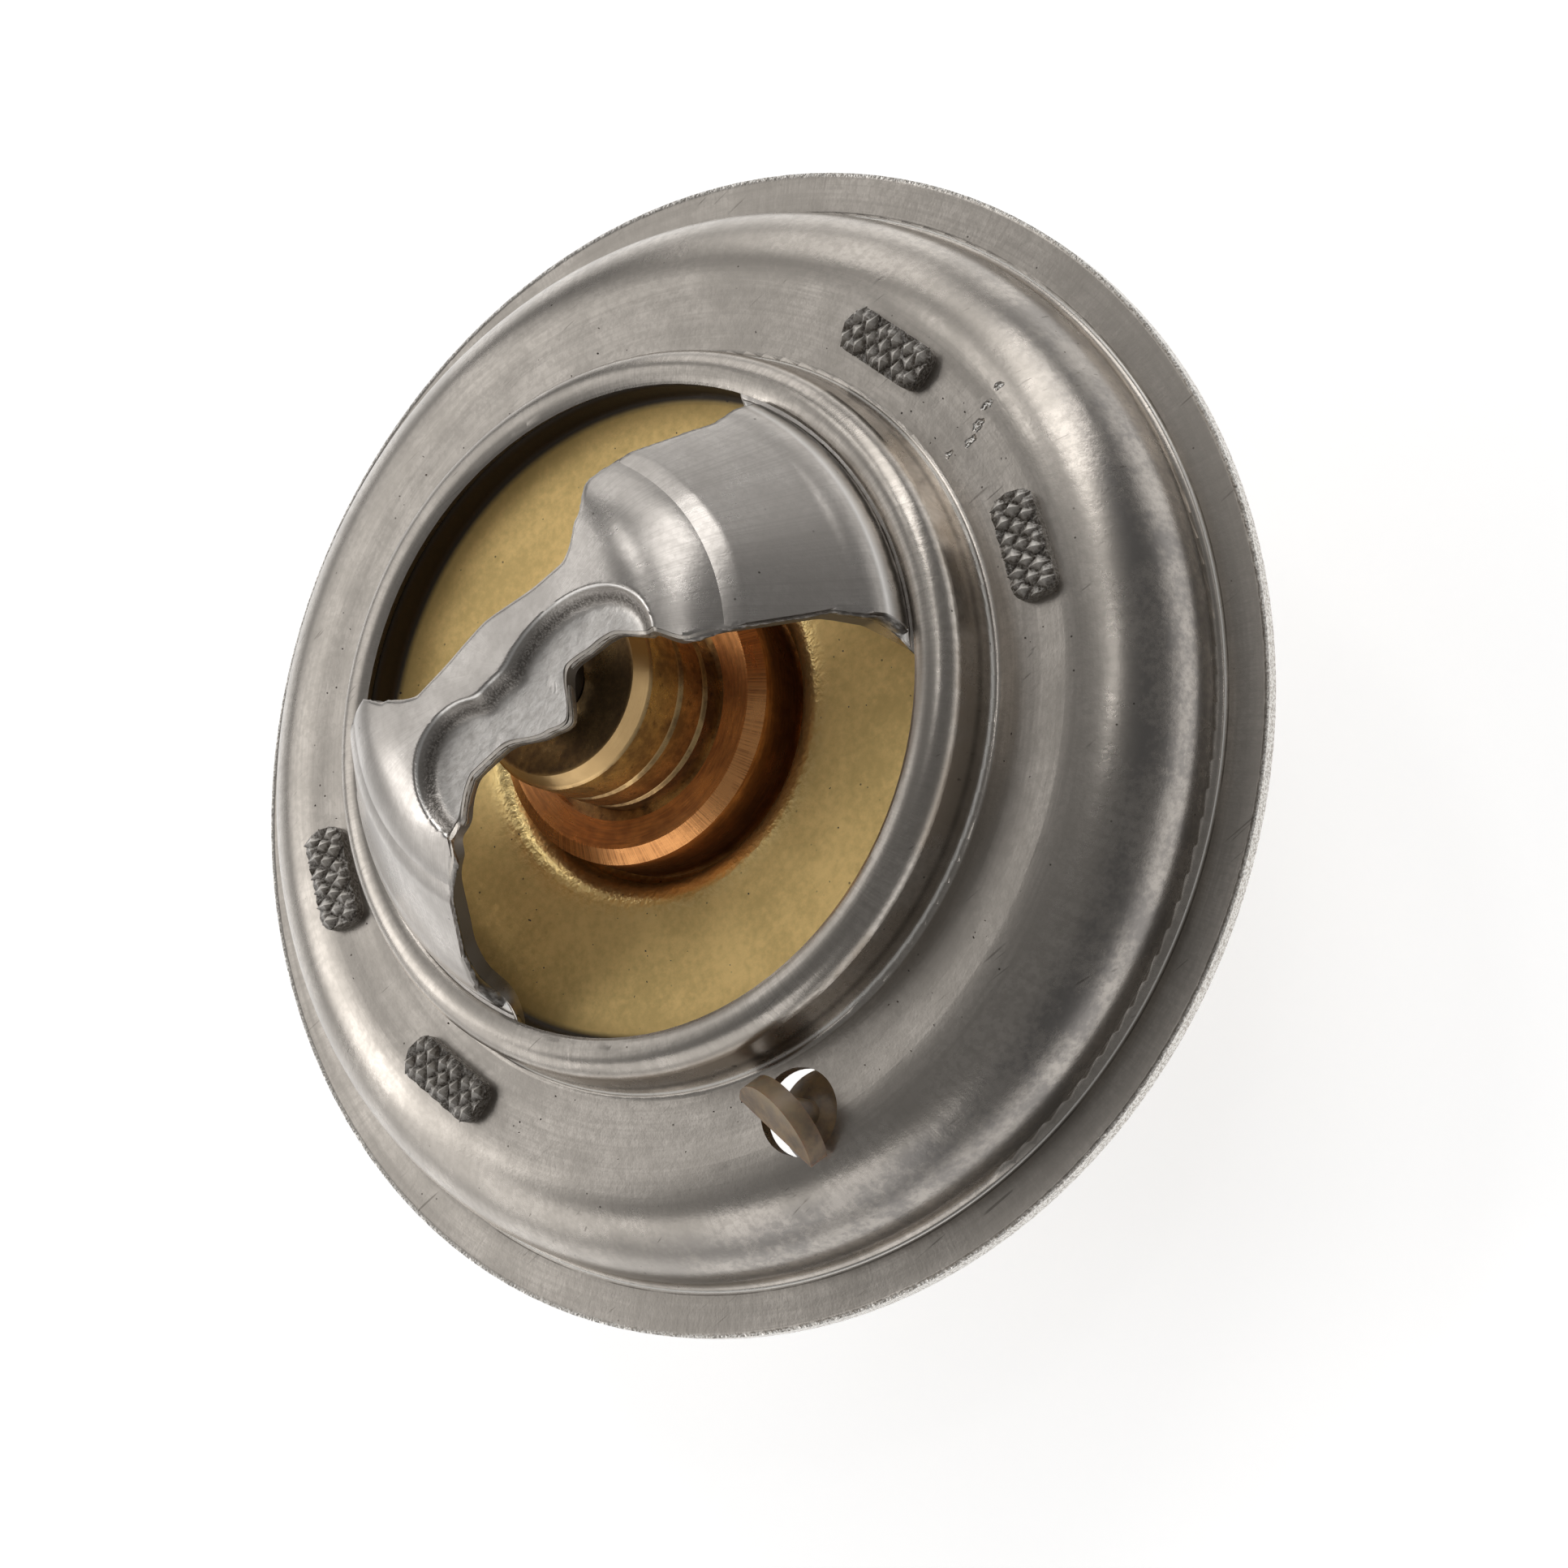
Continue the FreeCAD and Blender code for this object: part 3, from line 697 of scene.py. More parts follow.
@dataclass(frozen=True)
class DiscBrass:
    """Tumbled brass: matt gold with fine specks, bright where the neck is drawn down, painted black as shade
    at its step and darkened with painted shade towards it.
    """

    name: str = "disc_brass_matt"
    gold: Colour = (0.98, 0.70, 0.28)
    olive: Colour = (0.74, 0.53, 0.20)
    burnished: Colour = (1.0, 0.76, 0.34)
    shade: Colour = (0.035, 0.025, 0.015)
    neck_radius: float = 7.35
    step_radius: float = 14.5

    def build(self) -> bpy.types.Material:
        """Build the material.

        Returns:
            The material.
        """
        s = Surface(self.name)
        neck = s.radius.rise(self.neck_radius + 2.2, self.neck_radius + 1.0)
        step = s.radius.rise(self.step_radius - 0.35, self.step_radius) * s.upward.rise(-0.2, 0.1)
        shaded_margin = s.radius.rise(self.step_radius - 1.1, self.step_radius - 0.5)
        clouds = s.noise(3.2, 3.0, None, 0.6)
        mottle = s.noise(0.35, 2.0, None, 0.7, 3.0)
        hammered = s.noise(0.30, 2.0, None, 0.55, 9.0)
        grains = s.noise(0.09, 2.0, None, 0.5, 6.0)
        streaks = s.lines(Grain.ROUND, 0.3, 6.0, 4.0)
        specks = s.spots(0.75, 0.10) * s.noise(1.3, 1.0, None, 0.5, 2.0).rise(0.44, 0.56)
        tone = (clouds * 0.6 + mottle * 0.4).rise(0.34, 0.66)
        colour = s.mix(tone, self.gold, self.olive)
        colour = s.mix(neck * (0.35 + hammered.rise(0.4, 0.6) * 0.6), colour, self.burnished)
        colour = s.mix(streaks.rise(0.5, 0.8) * 0.25, colour, self.olive)
        # Painted shade darkens the disc towards the step under the collar's lip.
        colour = s.mix(shaded_margin * 0.45, colour, self.olive)
        # Dark specks of dirt, and the step painted black as painted shade.
        colour = s.mix((specks * 0.8 + step).least(1.0), colour, self.shade)
        roughness = 0.44 + mottle * 0.10 - neck * 0.18
        normal = s.relief((grains, 0.0035), (mottle, 0.007), (hammered * neck, 0.045), (clouds, 0.012))
        return s.finish(colour, roughness, normal, 0.48 + neck * 0.4)


@dataclass(frozen=True)
class CupCopper:
    """Turned copper of the wax cup: bright radial marks on the crimp's bevel, painted shade below the crimp,
    in the gap round the cup.
    """

    name: str = "cup_copper"
    orange: Colour = (0.98, 0.45, 0.16)
    brown: Colour = (0.50, 0.20, 0.07)
    gap_shade: Colour = (0.10, 0.042, 0.02)
    bevel_inner: float = 6.2

    def build(self) -> bpy.types.Material:
        """Build the material.

        Returns:
            The material.
        """
        s = Surface(self.name)
        bevel = s.radius.rise(self.bevel_inner, self.bevel_inner + 0.15) * s.z.rise(8.7, 8.8)
        radial_lines = s.lines(Grain.RADIAL, 0.16, 2.5)
        round_lines = s.lines(Grain.ROUND, 0.12, 4.0, 5.0)
        clouds = s.noise(1.6, 4.0, None, 0.6)
        grains = s.noise(0.12, 2.0, None, 0.5, 3.0)
        shaded_wall = s.z.rise(8.75, 8.0)
        tone = (clouds * 0.6 + round_lines * 0.4).rise(0.35, 0.65)
        colour = s.mix(tone, self.orange, self.brown)
        colour = s.mix(bevel * radial_lines.rise(0.35, 0.6), colour, self.orange)
        # Painted shade below the crimp, where the cup sits in the gap under the disc's neck.
        colour = s.mix(shaded_wall * (0.45 + 0.4 * clouds), colour, self.gap_shade)
        roughness = 0.26 + tone * 0.14 - bevel * 0.04
        normal = s.relief((radial_lines * bevel, 0.008), ((1 - bevel) * round_lines, 0.004), (grains, 0.002),
                          (clouds, 0.012))
        return s.finish(colour, roughness, normal, 0.85)


@dataclass(frozen=True)
class GuideBronze:
    """Turned bronze of the guide: brown oxide on the faces, bright on the chamfer and in the grooves."""

    name: str = "guide_bronze"
    dark: Colour = (0.36, 0.22, 0.10)
    warm: Colour = (0.74, 0.49, 0.22)
    bright: Colour = (0.92, 0.62, 0.29)
    oxide: Colour = (0.16, 0.10, 0.055)
    chamfer_foot: float = 14.04
    chamfer_radius: float = 4.0
    grooves: tuple[float, ...] = (11.8, 9.91)

    def build(self) -> bpy.types.Material:
        """Build the material.

        Returns:
            The material.
        """
        s = Surface(self.name)
        chamfer = s.z.rise(self.chamfer_foot - 0.12, self.chamfer_foot)
        chamfer = chamfer * s.radius.rise(self.chamfer_radius, self.chamfer_radius + 0.12)
        face = s.radius.rise(self.chamfer_radius + 0.05, self.chamfer_radius - 0.1) * s.z.rise(14.2, 14.5)
        fresh = chamfer
        for height in self.grooves:
            fresh = fresh.most(s.z.band(height, 0.11) * s.radius.rise(4.6, 4.5))
        clouds = s.noise(1.2, 4.0, None, 0.6)
        stains = s.noise(0.5, 4.0, None, 0.7, 7.0)
        turning = s.noise(1.0, 3.0, s.combine(s.z / 0.06, s.around_x * 1.5, s.around_y * 1.5), 0.5)
        facing = s.lines(Grain.ROUND, 0.08, 5.0, 2.0)
        grains = s.noise(0.1, 2.0, None, 0.5, 3.0)
        tone = (clouds * 0.6 + stains * 0.4).rise(0.38, 0.62)
        colour = s.mix(tone, self.warm, self.dark)
        colour = s.mix(face * (0.35 + tone * 0.3), colour, self.oxide)
        colour = s.mix(fresh * 0.9, colour, self.bright)
        colour = s.mix(stains.rise(0.60, 0.68) * (1 - fresh) * 0.5, colour, self.oxide)
        roughness = 0.26 + tone * 0.12 + fresh * 0.02
        normal = s.relief((turning, 0.004), (facing, 0.002), (grains, 0.002), (clouds, 0.008))
        return s.finish(colour, roughness, normal, 0.9)


@dataclass(frozen=True)
class DrawnWire:
    """Drawn spring wire, with die lines along it and a thin brown oxide."""

    name: str = "spring_wire_drawn"
    bright: Colour = (0.50, 0.48, 0.46)
    oxide: Colour = (0.26, 0.22, 0.185)

    def build(self) -> bpy.types.Material:
        """Build the material.

        Returns:
            The material.
        """
        s = Surface(self.name)
        clouds = s.noise(2.0, 4.0, None, 0.6)
        die_lines = s.lines(Grain.ROUND, 0.09, 12.0)
        grains = s.noise(0.12, 2.0, None, 0.5, 3.0)
        colour = s.mix((clouds * 0.7 + die_lines * 0.3).rise(0.35, 0.65), self.bright, self.oxide)
        roughness = 0.30 + clouds * 0.14
        return s.finish(colour, roughness, s.relief((die_lines, 0.003), (grains, 0.002)))


@dataclass(frozen=True)
class GroundSteel:
    """Ground and polished steel of the piston."""

    name: str = "piston_ground"
    bright: Colour = (0.66, 0.65, 0.64)
    dull: Colour = (0.40, 0.38, 0.36)

    def build(self) -> bpy.types.Material:
        """Build the material.

        Returns:
            The material.
        """
        s = Surface(self.name)
        clouds = s.noise(1.5, 3.0)
        rings = s.noise(1.0, 3.0, s.combine(s.z / 0.05, s.around_x, s.around_y))
        colour = s.mix(clouds.rise(0.4, 0.7), self.bright, self.dull)
        return s.finish(colour, 0.18 + clouds * 0.1, s.relief((rings, 0.002)))


@dataclass(frozen=True)
class LeafNylon:
    """Amber nylon of the vent pin, mottled, and paler towards its top."""

    name: str = "vent_pin_nylon"
    amber: Colour = (0.30, 0.20, 0.105)
    brown: Colour = (0.15, 0.105, 0.07)
    pale: Colour = (0.42, 0.32, 0.20)

    def build(self) -> bpy.types.Material:
        """Build the material.

        Returns:
            The material.
        """
        s = Surface(self.name)
        clouds = s.noise(0.9, 4.0, None, 0.6)
        grains = s.noise(0.08, 2.0, None, 0.5, 3.0)
        colour = s.mix(clouds.rise(0.35, 0.65), self.amber, self.brown)
        colour = s.mix(s.z.rise(7.2, 8.5) * 0.5, colour, self.pale)
        roughness = 0.34 + grains * 0.12
        normal = s.relief((grains, 0.003), (clouds, 0.02))
        return s.finish(colour, roughness, normal, 0.0, Subsurface_Weight=0.25, Subsurface_Scale=0.0008,
                        Transmission_Weight=0.15)


@dataclass(frozen=True)
class MouldedRubber:
    """Black rubber of the sleeve."""

    name: str = "sleeve_rubber"
    black: Colour = (0.018, 0.018, 0.018)
    bloom: Colour = (0.055, 0.053, 0.05)

    def build(self) -> bpy.types.Material:
        """Build the material.

        Returns:
            The material.
        """
        s = Surface(self.name)
        clouds = s.noise(1.5, 4.0)
        grains = s.noise(0.15, 3.0)
        colour = s.mix(clouds.rise(0.4, 0.7), self.black, self.bloom)
        return s.finish(colour, 0.62 + grains * 0.2, s.relief((grains, 0.008)), 0.0)


@dataclass(frozen=True)
class CopperWax:
    """Wax charge, copper-coloured by the metal powder mixed into it."""

    name: str = "wax_charge"
    wax: Colour = (0.45, 0.24, 0.13)
    powder: Colour = (0.62, 0.36, 0.20)

    def build(self) -> bpy.types.Material:
        """Build the material.

        Returns:
            The material.
        """
        s = Surface(self.name)
        grains = s.noise(0.12, 3.0)
        colour = s.mix(grains.rise(0.4, 0.65), self.wax, self.powder)
        return s.finish(colour, 0.55 + grains * 0.15, s.relief((grains, 0.01)), grains.rise(0.5, 0.7) * 0.5)


@dataclass(frozen=True)
class RingPlastic:
    """Off-white low-friction plastic of the backup ring."""

    name: str = "backup_ring_plastic"
    white: Colour = (0.72, 0.70, 0.64)
    shade: Colour = (0.55, 0.52, 0.46)

    def build(self) -> bpy.types.Material:
        """Build the material.

        Returns:
            The material.
        """
        s = Surface(self.name)
        clouds = s.noise(0.8, 3.0)
        grains = s.noise(0.1, 2.0, None, 0.5, 3.0)
        colour = s.mix(clouds.rise(0.4, 0.65), self.white, self.shade)
        return s.finish(colour, 0.42 + grains * 0.1, s.relief((grains, 0.003)), 0.0)


@dataclass(frozen=True)
class Dust:
    """Dark grains of dirt and metal dust."""

    name: str = "dust_dark"
    dark: Colour = (0.045, 0.035, 0.028)
    light: Colour = (0.16, 0.13, 0.10)

    def build(self) -> bpy.types.Material:
        """Build the material.

        Returns:
            The material.
        """
        s = Surface(self.name)
        tone = s.noise(0.5, 2.0)
        return s.finish(s.mix(tone.rise(0.4, 0.7), self.dark, self.light), 0.7 + tone * 0.1, None, 0.0)


@dataclass(frozen=True)
class StudioPaper:
    """White paper under the object, glowing as a painted pool of light: bright near the object, dim far from
    it.
    """

    name: str = "studio_paper"
    white: Colour = (0.86, 0.86, 0.86)
    shade: Colour = (0.84, 0.84, 0.84)
    lit: Colour = (1.0, 1.0, 1.0)
    dim: Colour = (0.12, 0.12, 0.12)
    near: float = 85.0
    far: float = 170.0
    glow: float = 0.62

    def build(self) -> bpy.types.Material:
        """Build the material.

        Returns:
            The material.
        """
        s = Surface(self.name)
        fibres = s.noise(0.6, 3.0)
        # The paper glows as a painted pool of light, strongest near the object.
        painted_glow_pool = s.radius.rise(self.far, self.near)
        glow = s.mix(painted_glow_pool, self.dim, self.lit)
        return s.finish(s.mix(fibres, self.white, self.shade), 0.8 + fibres * 0.1, None, 0.0,
                        Emission_Color=glow, Emission_Strength=self.glow)


def dress(node: str, material: bpy.types.Material) -> None:
    """Give a CAD node a finish.

    Args:
        node: The CAD node's name.
        material: Its material.
    """
    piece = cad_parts[node]
    for material_slot in piece.material_slots:
        material_slot.material = material
    log.info("%s wears %s", node, material.name)


def smooth_step(value: np.ndarray | float) -> np.ndarray:
    """Rise from 0 to 1 with level ends.

    Args:
        value: Place on the rise. Below 0 and above 1 it stays level.

    Returns:
        The share at each place.
    """
    value = np.clip(value, 0.0, 1.0)
    return value * value * (3 - 2 * value)


def eased(table: Table, place: np.ndarray, ease: float) -> np.ndarray:
    """Values of a table at places, with steps eased from straight (0) to smooth (1).

    Args:
        table: Places and their values, in order.
        place: Where to read it.
        ease: How smooth each step is.

    Returns:
        The values.
    """
    places = np.array([row[0] for row in table])
    values = np.array([row[1] for row in table])
    inside = np.clip(place, places[0], places[-1])
    step = np.clip(np.searchsorted(places, inside, side="right") - 1, 0, len(places) - 2)
    share = (inside - places[step]) / (places[step + 1] - places[step])
    share = share + ease * (smooth_step(share) - share)
    return values[step] + (values[step + 1] - values[step]) * share


def rounded_line(corners: list[tuple[float, float]], rounds: list[float], step: float) -> np.ndarray:
    """Points along a path whose inner corners are rounded.

    Args:
        corners: Radius and height of each corner.
        rounds: Radius of each inner corner's arc.
        step: Distance between points.

    Returns:
        Radius and height of each point.
    """
    points = [np.array(corners[0], float)]
    for index in range(1, len(corners) - 1):
        corner = np.array(corners[index], float)
        back = np.array(corners[index - 1], float) - corner
        onward = np.array(corners[index + 1], float) - corner
        back /= np.linalg.norm(back)
        onward /= np.linalg.norm(onward)
        half_angle = math.acos(float(np.clip(back @ onward, -1, 1))) / 2
        reach = rounds[index - 1] / math.tan(half_angle)
        middle = (back + onward) / np.linalg.norm(back + onward)
        centre = corner + middle * rounds[index - 1] / math.sin(half_angle)
        start = corner + back * reach - centre
        end = corner + onward * reach - centre
        turn = math.pi - 2 * half_angle
        count = max(3, int(rounds[index - 1] * turn / step) + 1)
        for share in np.linspace(0, 1, count):
            arm = (math.sin((1 - share) * turn) * start + math.sin(share * turn) * end) / math.sin(turn)
            points.append(centre + arm)
    points.append(np.array(corners[-1], float))
    points = np.array(points)
    run = np.concatenate([[0], np.cumsum(np.linalg.norm(np.diff(points, axis=0), axis=1))])
    places = np.linspace(0, run[-1], max(2, int(round(run[-1] / step)) + 1))
    return np.column_stack([np.interp(places, run, points[:, 0]), np.interp(places, run, points[:, 1])])


def wander(places: np.ndarray, size: float, seed: int) -> np.ndarray:
    """Smooth noise along a line, from -1 to 1.

    Args:
        places: Distances along the line.
        size: Mean length of a wave.
        seed: Fixes the draw.

    Returns:
        The noise at each place.
    """
    count = 4096
    draw = np.random.default_rng(seed).uniform(-1, 1, count)
    spot = np.asarray(places) / size + count // 2
    near = np.floor(spot).astype(int) % (count - 1)
    return draw[near] + (draw[near + 1] - draw[near]) * smooth_step(spot - np.floor(spot))


def new_piece(name: str, points: np.ndarray, faces: list, material: bpy.types.Material,
              sharp_degrees: float = 40.0) -> bpy.types.Object:
    """Make a closed mesh piece from points in millimetres.

    Args:
        name: The piece's name.
        points: One row for each point.
        faces: Point numbers of each face.
        material: Its finish.
        sharp_degrees: Edges that turn by more stay crisp.

    Returns:
        The new object.
    """
    mesh = bpy.data.meshes.new(name)
    mesh.from_pydata((np.asarray(points, float) * MM).tolist(), [], faces)
    return finish_piece(name, mesh, material, sharp_degrees)


def finish_piece(name: str, mesh: bpy.types.Mesh, material: bpy.types.Material,
                 sharp_degrees: float = 40.0) -> bpy.types.Object:
    """Merge a mesh's doubles, turn its faces outwards, smooth it and put it in the scene.

    Args:
        name: The piece's name.
        mesh: Its mesh, in metres.
        material: Its finish.
        sharp_degrees: Edges that turn by more stay crisp.

    Returns:
        The new object.
    """
    working = bmesh.new()
    working.from_mesh(mesh)
    bmesh.ops.remove_doubles(working, verts=working.verts, dist=1e-7)
    bmesh.ops.recalc_face_normals(working, faces=working.faces)
    working.to_mesh(mesh)
    working.free()
    mesh.shade_smooth()
    mesh.set_sharp_from_angle(angle=math.radians(sharp_degrees))
    mesh.materials.clear()
    mesh.materials.append(material)
    piece = bpy.data.objects.new(name, mesh)
    bpy.context.scene.collection.objects.link(piece)
    return piece


def tube_faces(rows: int, columns: int) -> list[tuple[int, ...]]:
    """Four-sided faces over a grid of points whose last column joins the first, stored row by row.

    Args:
        rows: Number of rows.
        columns: Number of columns.

    Returns:
        Point numbers of each face.
    """
    faces = []
    for row in range(rows - 1):
        for column in range(columns):
            right = (column + 1) % columns
            faces.append((row * columns + column, row * columns + right,
                          (row + 1) * columns + right, (row + 1) * columns + column))
    return faces


@dataclass
class Bridge:
    """The bridge's skin: the pressed strip with worn rims, crisp trough walls and press marks.

    It lies a hair outside the CAD strip, which it hides.
    """

    crown_height: float = 18.07
    slope: float = 54.0
    root: tuple[float, float] = (15.0, 9.08)
    bend: tuple[float, float] = (13.95, 9.15)
    knee: tuple[float, float] = (13.3, 11.3)
    rounds: tuple[float, ...] = (0.6, 5.0, 5.0)
    sheet: float = 0.65
    root_sheet: float = 0.5
    proud: float = 0.04
    arc_blend: tuple[float, float] = (4.0, 7.5)
    half_widths: Table = ((0.0, 2.45), (0.19, 2.1), (0.3, 2.08), (0.467, 3.4), (0.567, 4.65),
                          (0.82, 5.35), (0.9, 6.05), (0.977, 7.9), (1.0, 8.2))
    width_ease: float = 0.3
    front_shifts: Table = ((-2.6, 0.0), (-0.5, 0.75), (0.5, 1.05), (1.85, -0.75), (3.4, -0.45), (5.6, 0.0))
    back_shifts: Table = ((-15.0, 0.0), (-14.2, -0.8), (-11.5, -0.5), (-8.5, 0.0), (-3.0, 0.35), (6.0, 0.0))
    trough_depth: float = 0.95
    trough_wall: float = 0.9
    lobe_blend: float = 0.5
    foot_ease: float = 0.42
    lobes: tuple[tuple[float, ...], ...] = ((2.4, -2.3, 4.25, 3.1), (-3.9, -2.6, 3.0, 3.35),
                                            (-1.2, -2.7, 3.0, 2.85))
    crown_fall: float = 0.3
    fall_span: tuple[float, float] = (5.0, 9.0)
    creases: tuple[tuple[float, ...], ...] = ((1.15, -1.5, 0.42, 100.0, 260.0),
                                              (-2.25, -1.95, 0.45, 30.0, 165.0))
    root_crease: float = 14.43
    root_flank: float = 14.18
    root_band: float = 13.88
    step: float = 0.13
    columns: int = 64
    rim_round: float = 0.16
    tear: float = 0.035
    body: Body = Body.FRAME

    def edges(self, x: np.ndarray) -> tuple[np.ndarray, np.ndarray]:
        """Front and back edges of the strip.

        Args:
            x: Places along the bridge, before its ends are bent to the collar's circle.

        Returns:
            y of the front edge and of the back edge.
        """
        half_width = eased(self.half_widths, np.abs(x) / self.root[0], self.width_ease)
        return -half_width - eased(self.front_shifts, x, 1.0), half_width + eased(self.back_shifts, x, 1.0)

    def trough(self, x: np.ndarray, y: np.ndarray) -> tuple[np.ndarray, np.ndarray]:
        """Depth of the pressed trough, and how far into it each point lies.

        Args:
            x: Places along the bridge.
            y: Places across it.

        Returns:
            Depth in millimetres, and a share that goes from 0 at the rim to 1 on the floor.
        """
        reach = np.full_like(x, -1 / self.trough_wall)
        for centre_x, centre_y, half_length, half_width in self.lobes:
            share = np.hypot((x - centre_x) / half_length, (y - centre_y) / half_width)
            lobe = (1 - share) * half_width / self.trough_wall
            nearness = np.maximum(self.lobe_blend - np.abs(reach - lobe), 0.0) / self.lobe_blend
            reach = np.maximum(reach, lobe) + nearness ** 2 * self.lobe_blend / 4
        reach = np.clip(reach, 0.0, 1.0)
        return self.trough_depth * (1 - (1 - reach) ** 2), reach

    def pressed_depth(self, x: np.ndarray, y: np.ndarray) -> tuple[np.ndarray, np.ndarray]:
        """Depth of the trough as pressed, where its foot is rounded off by the thickness of the sheet.

        Args:
            x: Places along the bridge.
            y: Places across it.

        Returns:
            Depth in millimetres, and how far into the trough each point lies.
        """
        depth, reach = self.trough(x, y)
        eased_depth = np.zeros_like(depth)
        for step_x, share_x in ((-1, 1 / 6), (0, 2 / 3), (1, 1 / 6)):
            for step_y, share_y in ((-1, 1 / 6), (0, 2 / 3), (1, 1 / 6)):
                near = self.trough(x + step_x * self.foot_ease, y + step_y * self.foot_ease)[0]
                eased_depth += share_x * share_y * near
        return np.minimum(depth, eased_depth), reach

    def fall(self, x: np.ndarray, y: np.ndarray, back: np.ndarray) -> np.ndarray:
        """How far the crown falls towards its back edge.

        Args:
            x: Places along the bridge.
            y: Places across it.
            back: y of the back edge at each place.

        Returns:
            The fall in millimetres.
        """
        start, end = self.fall_span
        crown_share = 1 - smooth_step((np.abs(x) - start) / (end - start))
        return self.crown_fall * crown_share * (np.maximum(y, 0.0) / back) ** 2

    def section(self) -> list[tuple[float, float, float]]:
        """One loop round the strip's section.

        Returns:
            Share across, share through the sheet and reach into the rim's round of each point.
        """
        loop = [(column / (self.columns - 1), 0.0, 0.0) for column in range(self.columns)]
        corner = [(0.08, 0.35), (0.25, 0.08), (0.5, 0.0), (0.75, 0.02), (0.93, 0.2)]
        loop += [(1.0, through, 1 - inset) for through, inset in corner]
        loop += [(column / (self.columns - 1), 1.0, 0.0) for column in reversed(range(self.columns))]
        loop += [(0.0, 1 - through, -(1 - inset)) for through, inset in reversed(corner)]
        return loop

    def skin(self) -> tuple[np.ndarray, np.ndarray, np.ndarray]:
        """Points of the whole skin, with how much each is sheared rim and how far in the trough it lies.

        Returns:
            Points as rows by section points by 3, and the two shares.
        """
        crown_corner = self.knee[0] - (self.crown_height - self.knee[1]) / math.tan(math.radians(self.slope))
        path = rounded_line([self.root, self.bend, self.knee, (crown_corner, self.crown_height),
                             (0.0, self.crown_height)], list(self.rounds), self.step)
        along = np.concatenate([path[:, 0], -path[-2::-1, 0]])
        height = np.concatenate([path[:, 1], path[-2::-1, 1]])
        run = np.concatenate([[0], np.cumsum(np.hypot(np.diff(along), np.diff(height)))])
        front, back = self.edges(along)
        loop = self.section()
        across = np.array([point[0] for point in loop])
        through = np.array([point[1] for point in loop])
        outset = np.array([point[2] for point in loop])
        inset = self.rim_round
        y = (front + inset)[:, None] + (back - front - 2 * inset)[:, None] * across[None, :]
        torn = wander(run, 0.22, 4)[:, None] * np.where(outset > 0, 1, 0.6)
        torn = torn + wander(run, 0.09, 9)[:, None] * 0.5
        y = y + outset * (inset + self.proud + self.tear * torn)
        arc_share = smooth_step((np.abs(along) - self.arc_blend[0]) / (self.arc_blend[1] - self.arc_blend[0]))
        size = np.abs(along)[:, None]
        sagitta = size - np.sqrt(np.maximum(size ** 2 - y ** 2, 0))
        x = np.sign(along)[:, None] * (size - arc_share[:, None] * sagitta)
        bent = np.stack([x, y, np.broadcast_to(height[:, None], y.shape)], axis=2)
        normal = self.normals(bent, along, height, y, arc_share)
        thinning = smooth_step((self.root[0] - np.abs(along)) / (self.root[0] - self.knee[0]))
        thickness = self.root_sheet + (self.sheet - self.root_sheet) * thinning
        depth, reach = self.pressed_depth(bent[:, :, 0], bent[:, :, 1])
        outward = self.proud - through[None, :] * (thickness[:, None] + 2 * self.proud)
        skin = bent + normal * outward[:, :, None]
        skin[:, :, 2] -= depth + self.fall(bent[:, :, 0], bent[:, :, 1], back[:, None])
        skin += normal * (self.press_marks(bent, reach) * (through == 0)[None, :])[:, :, None]
        rim = np.broadcast_to(np.clip(through * 2, 0, 1)[None, :] * (outset != 0)[None, :], reach.shape)
        return skin, rim, reach * (through < 0.3)[None, :]

    @staticmethod
    def normals(bent: np.ndarray, along: np.ndarray, height: np.ndarray, y: np.ndarray,
                arc_share: np.ndarray) -> np.ndarray:
        """Upward normals of the strip before the trough is pressed.

        Args:
            bent: Points of the bent strip. Not used.
            along: Place of each row along the bridge.
            height: Height of each row.
            y: Place of each point across the strip.
            arc_share: How far each row is bent to a circle.

        Returns:
            A unit normal for each point.
        """
        rise = np.gradient(height) / np.maximum(np.hypot(np.gradient(height), np.gradient(along)), 1e-9)
        level = np.gradient(along) / np.maximum(np.hypot(np.gradient(height), np.gradient(along)), 1e-9)
        size = np.maximum(np.abs(along), 1e-6)[:, None]
        tilt = arc_share[:, None] * np.clip(y / size, -1, 1)
        straight = np.sqrt(1 - tilt ** 2)
        side = np.sign(along + 1e-9)[:, None]
        outward_x = side * straight
        outward_y = tilt
        across_part = np.abs(rise)[:, None] * np.where(np.sign(rise * side[:, 0]) > 0, -1, 1)[:, None]
        normal = np.stack([outward_x * across_part, outward_y * across_part,
                           np.abs(level)[:, None] * np.ones_like(y)], axis=2)
        return normal / np.linalg.norm(normal, axis=2, keepdims=True)

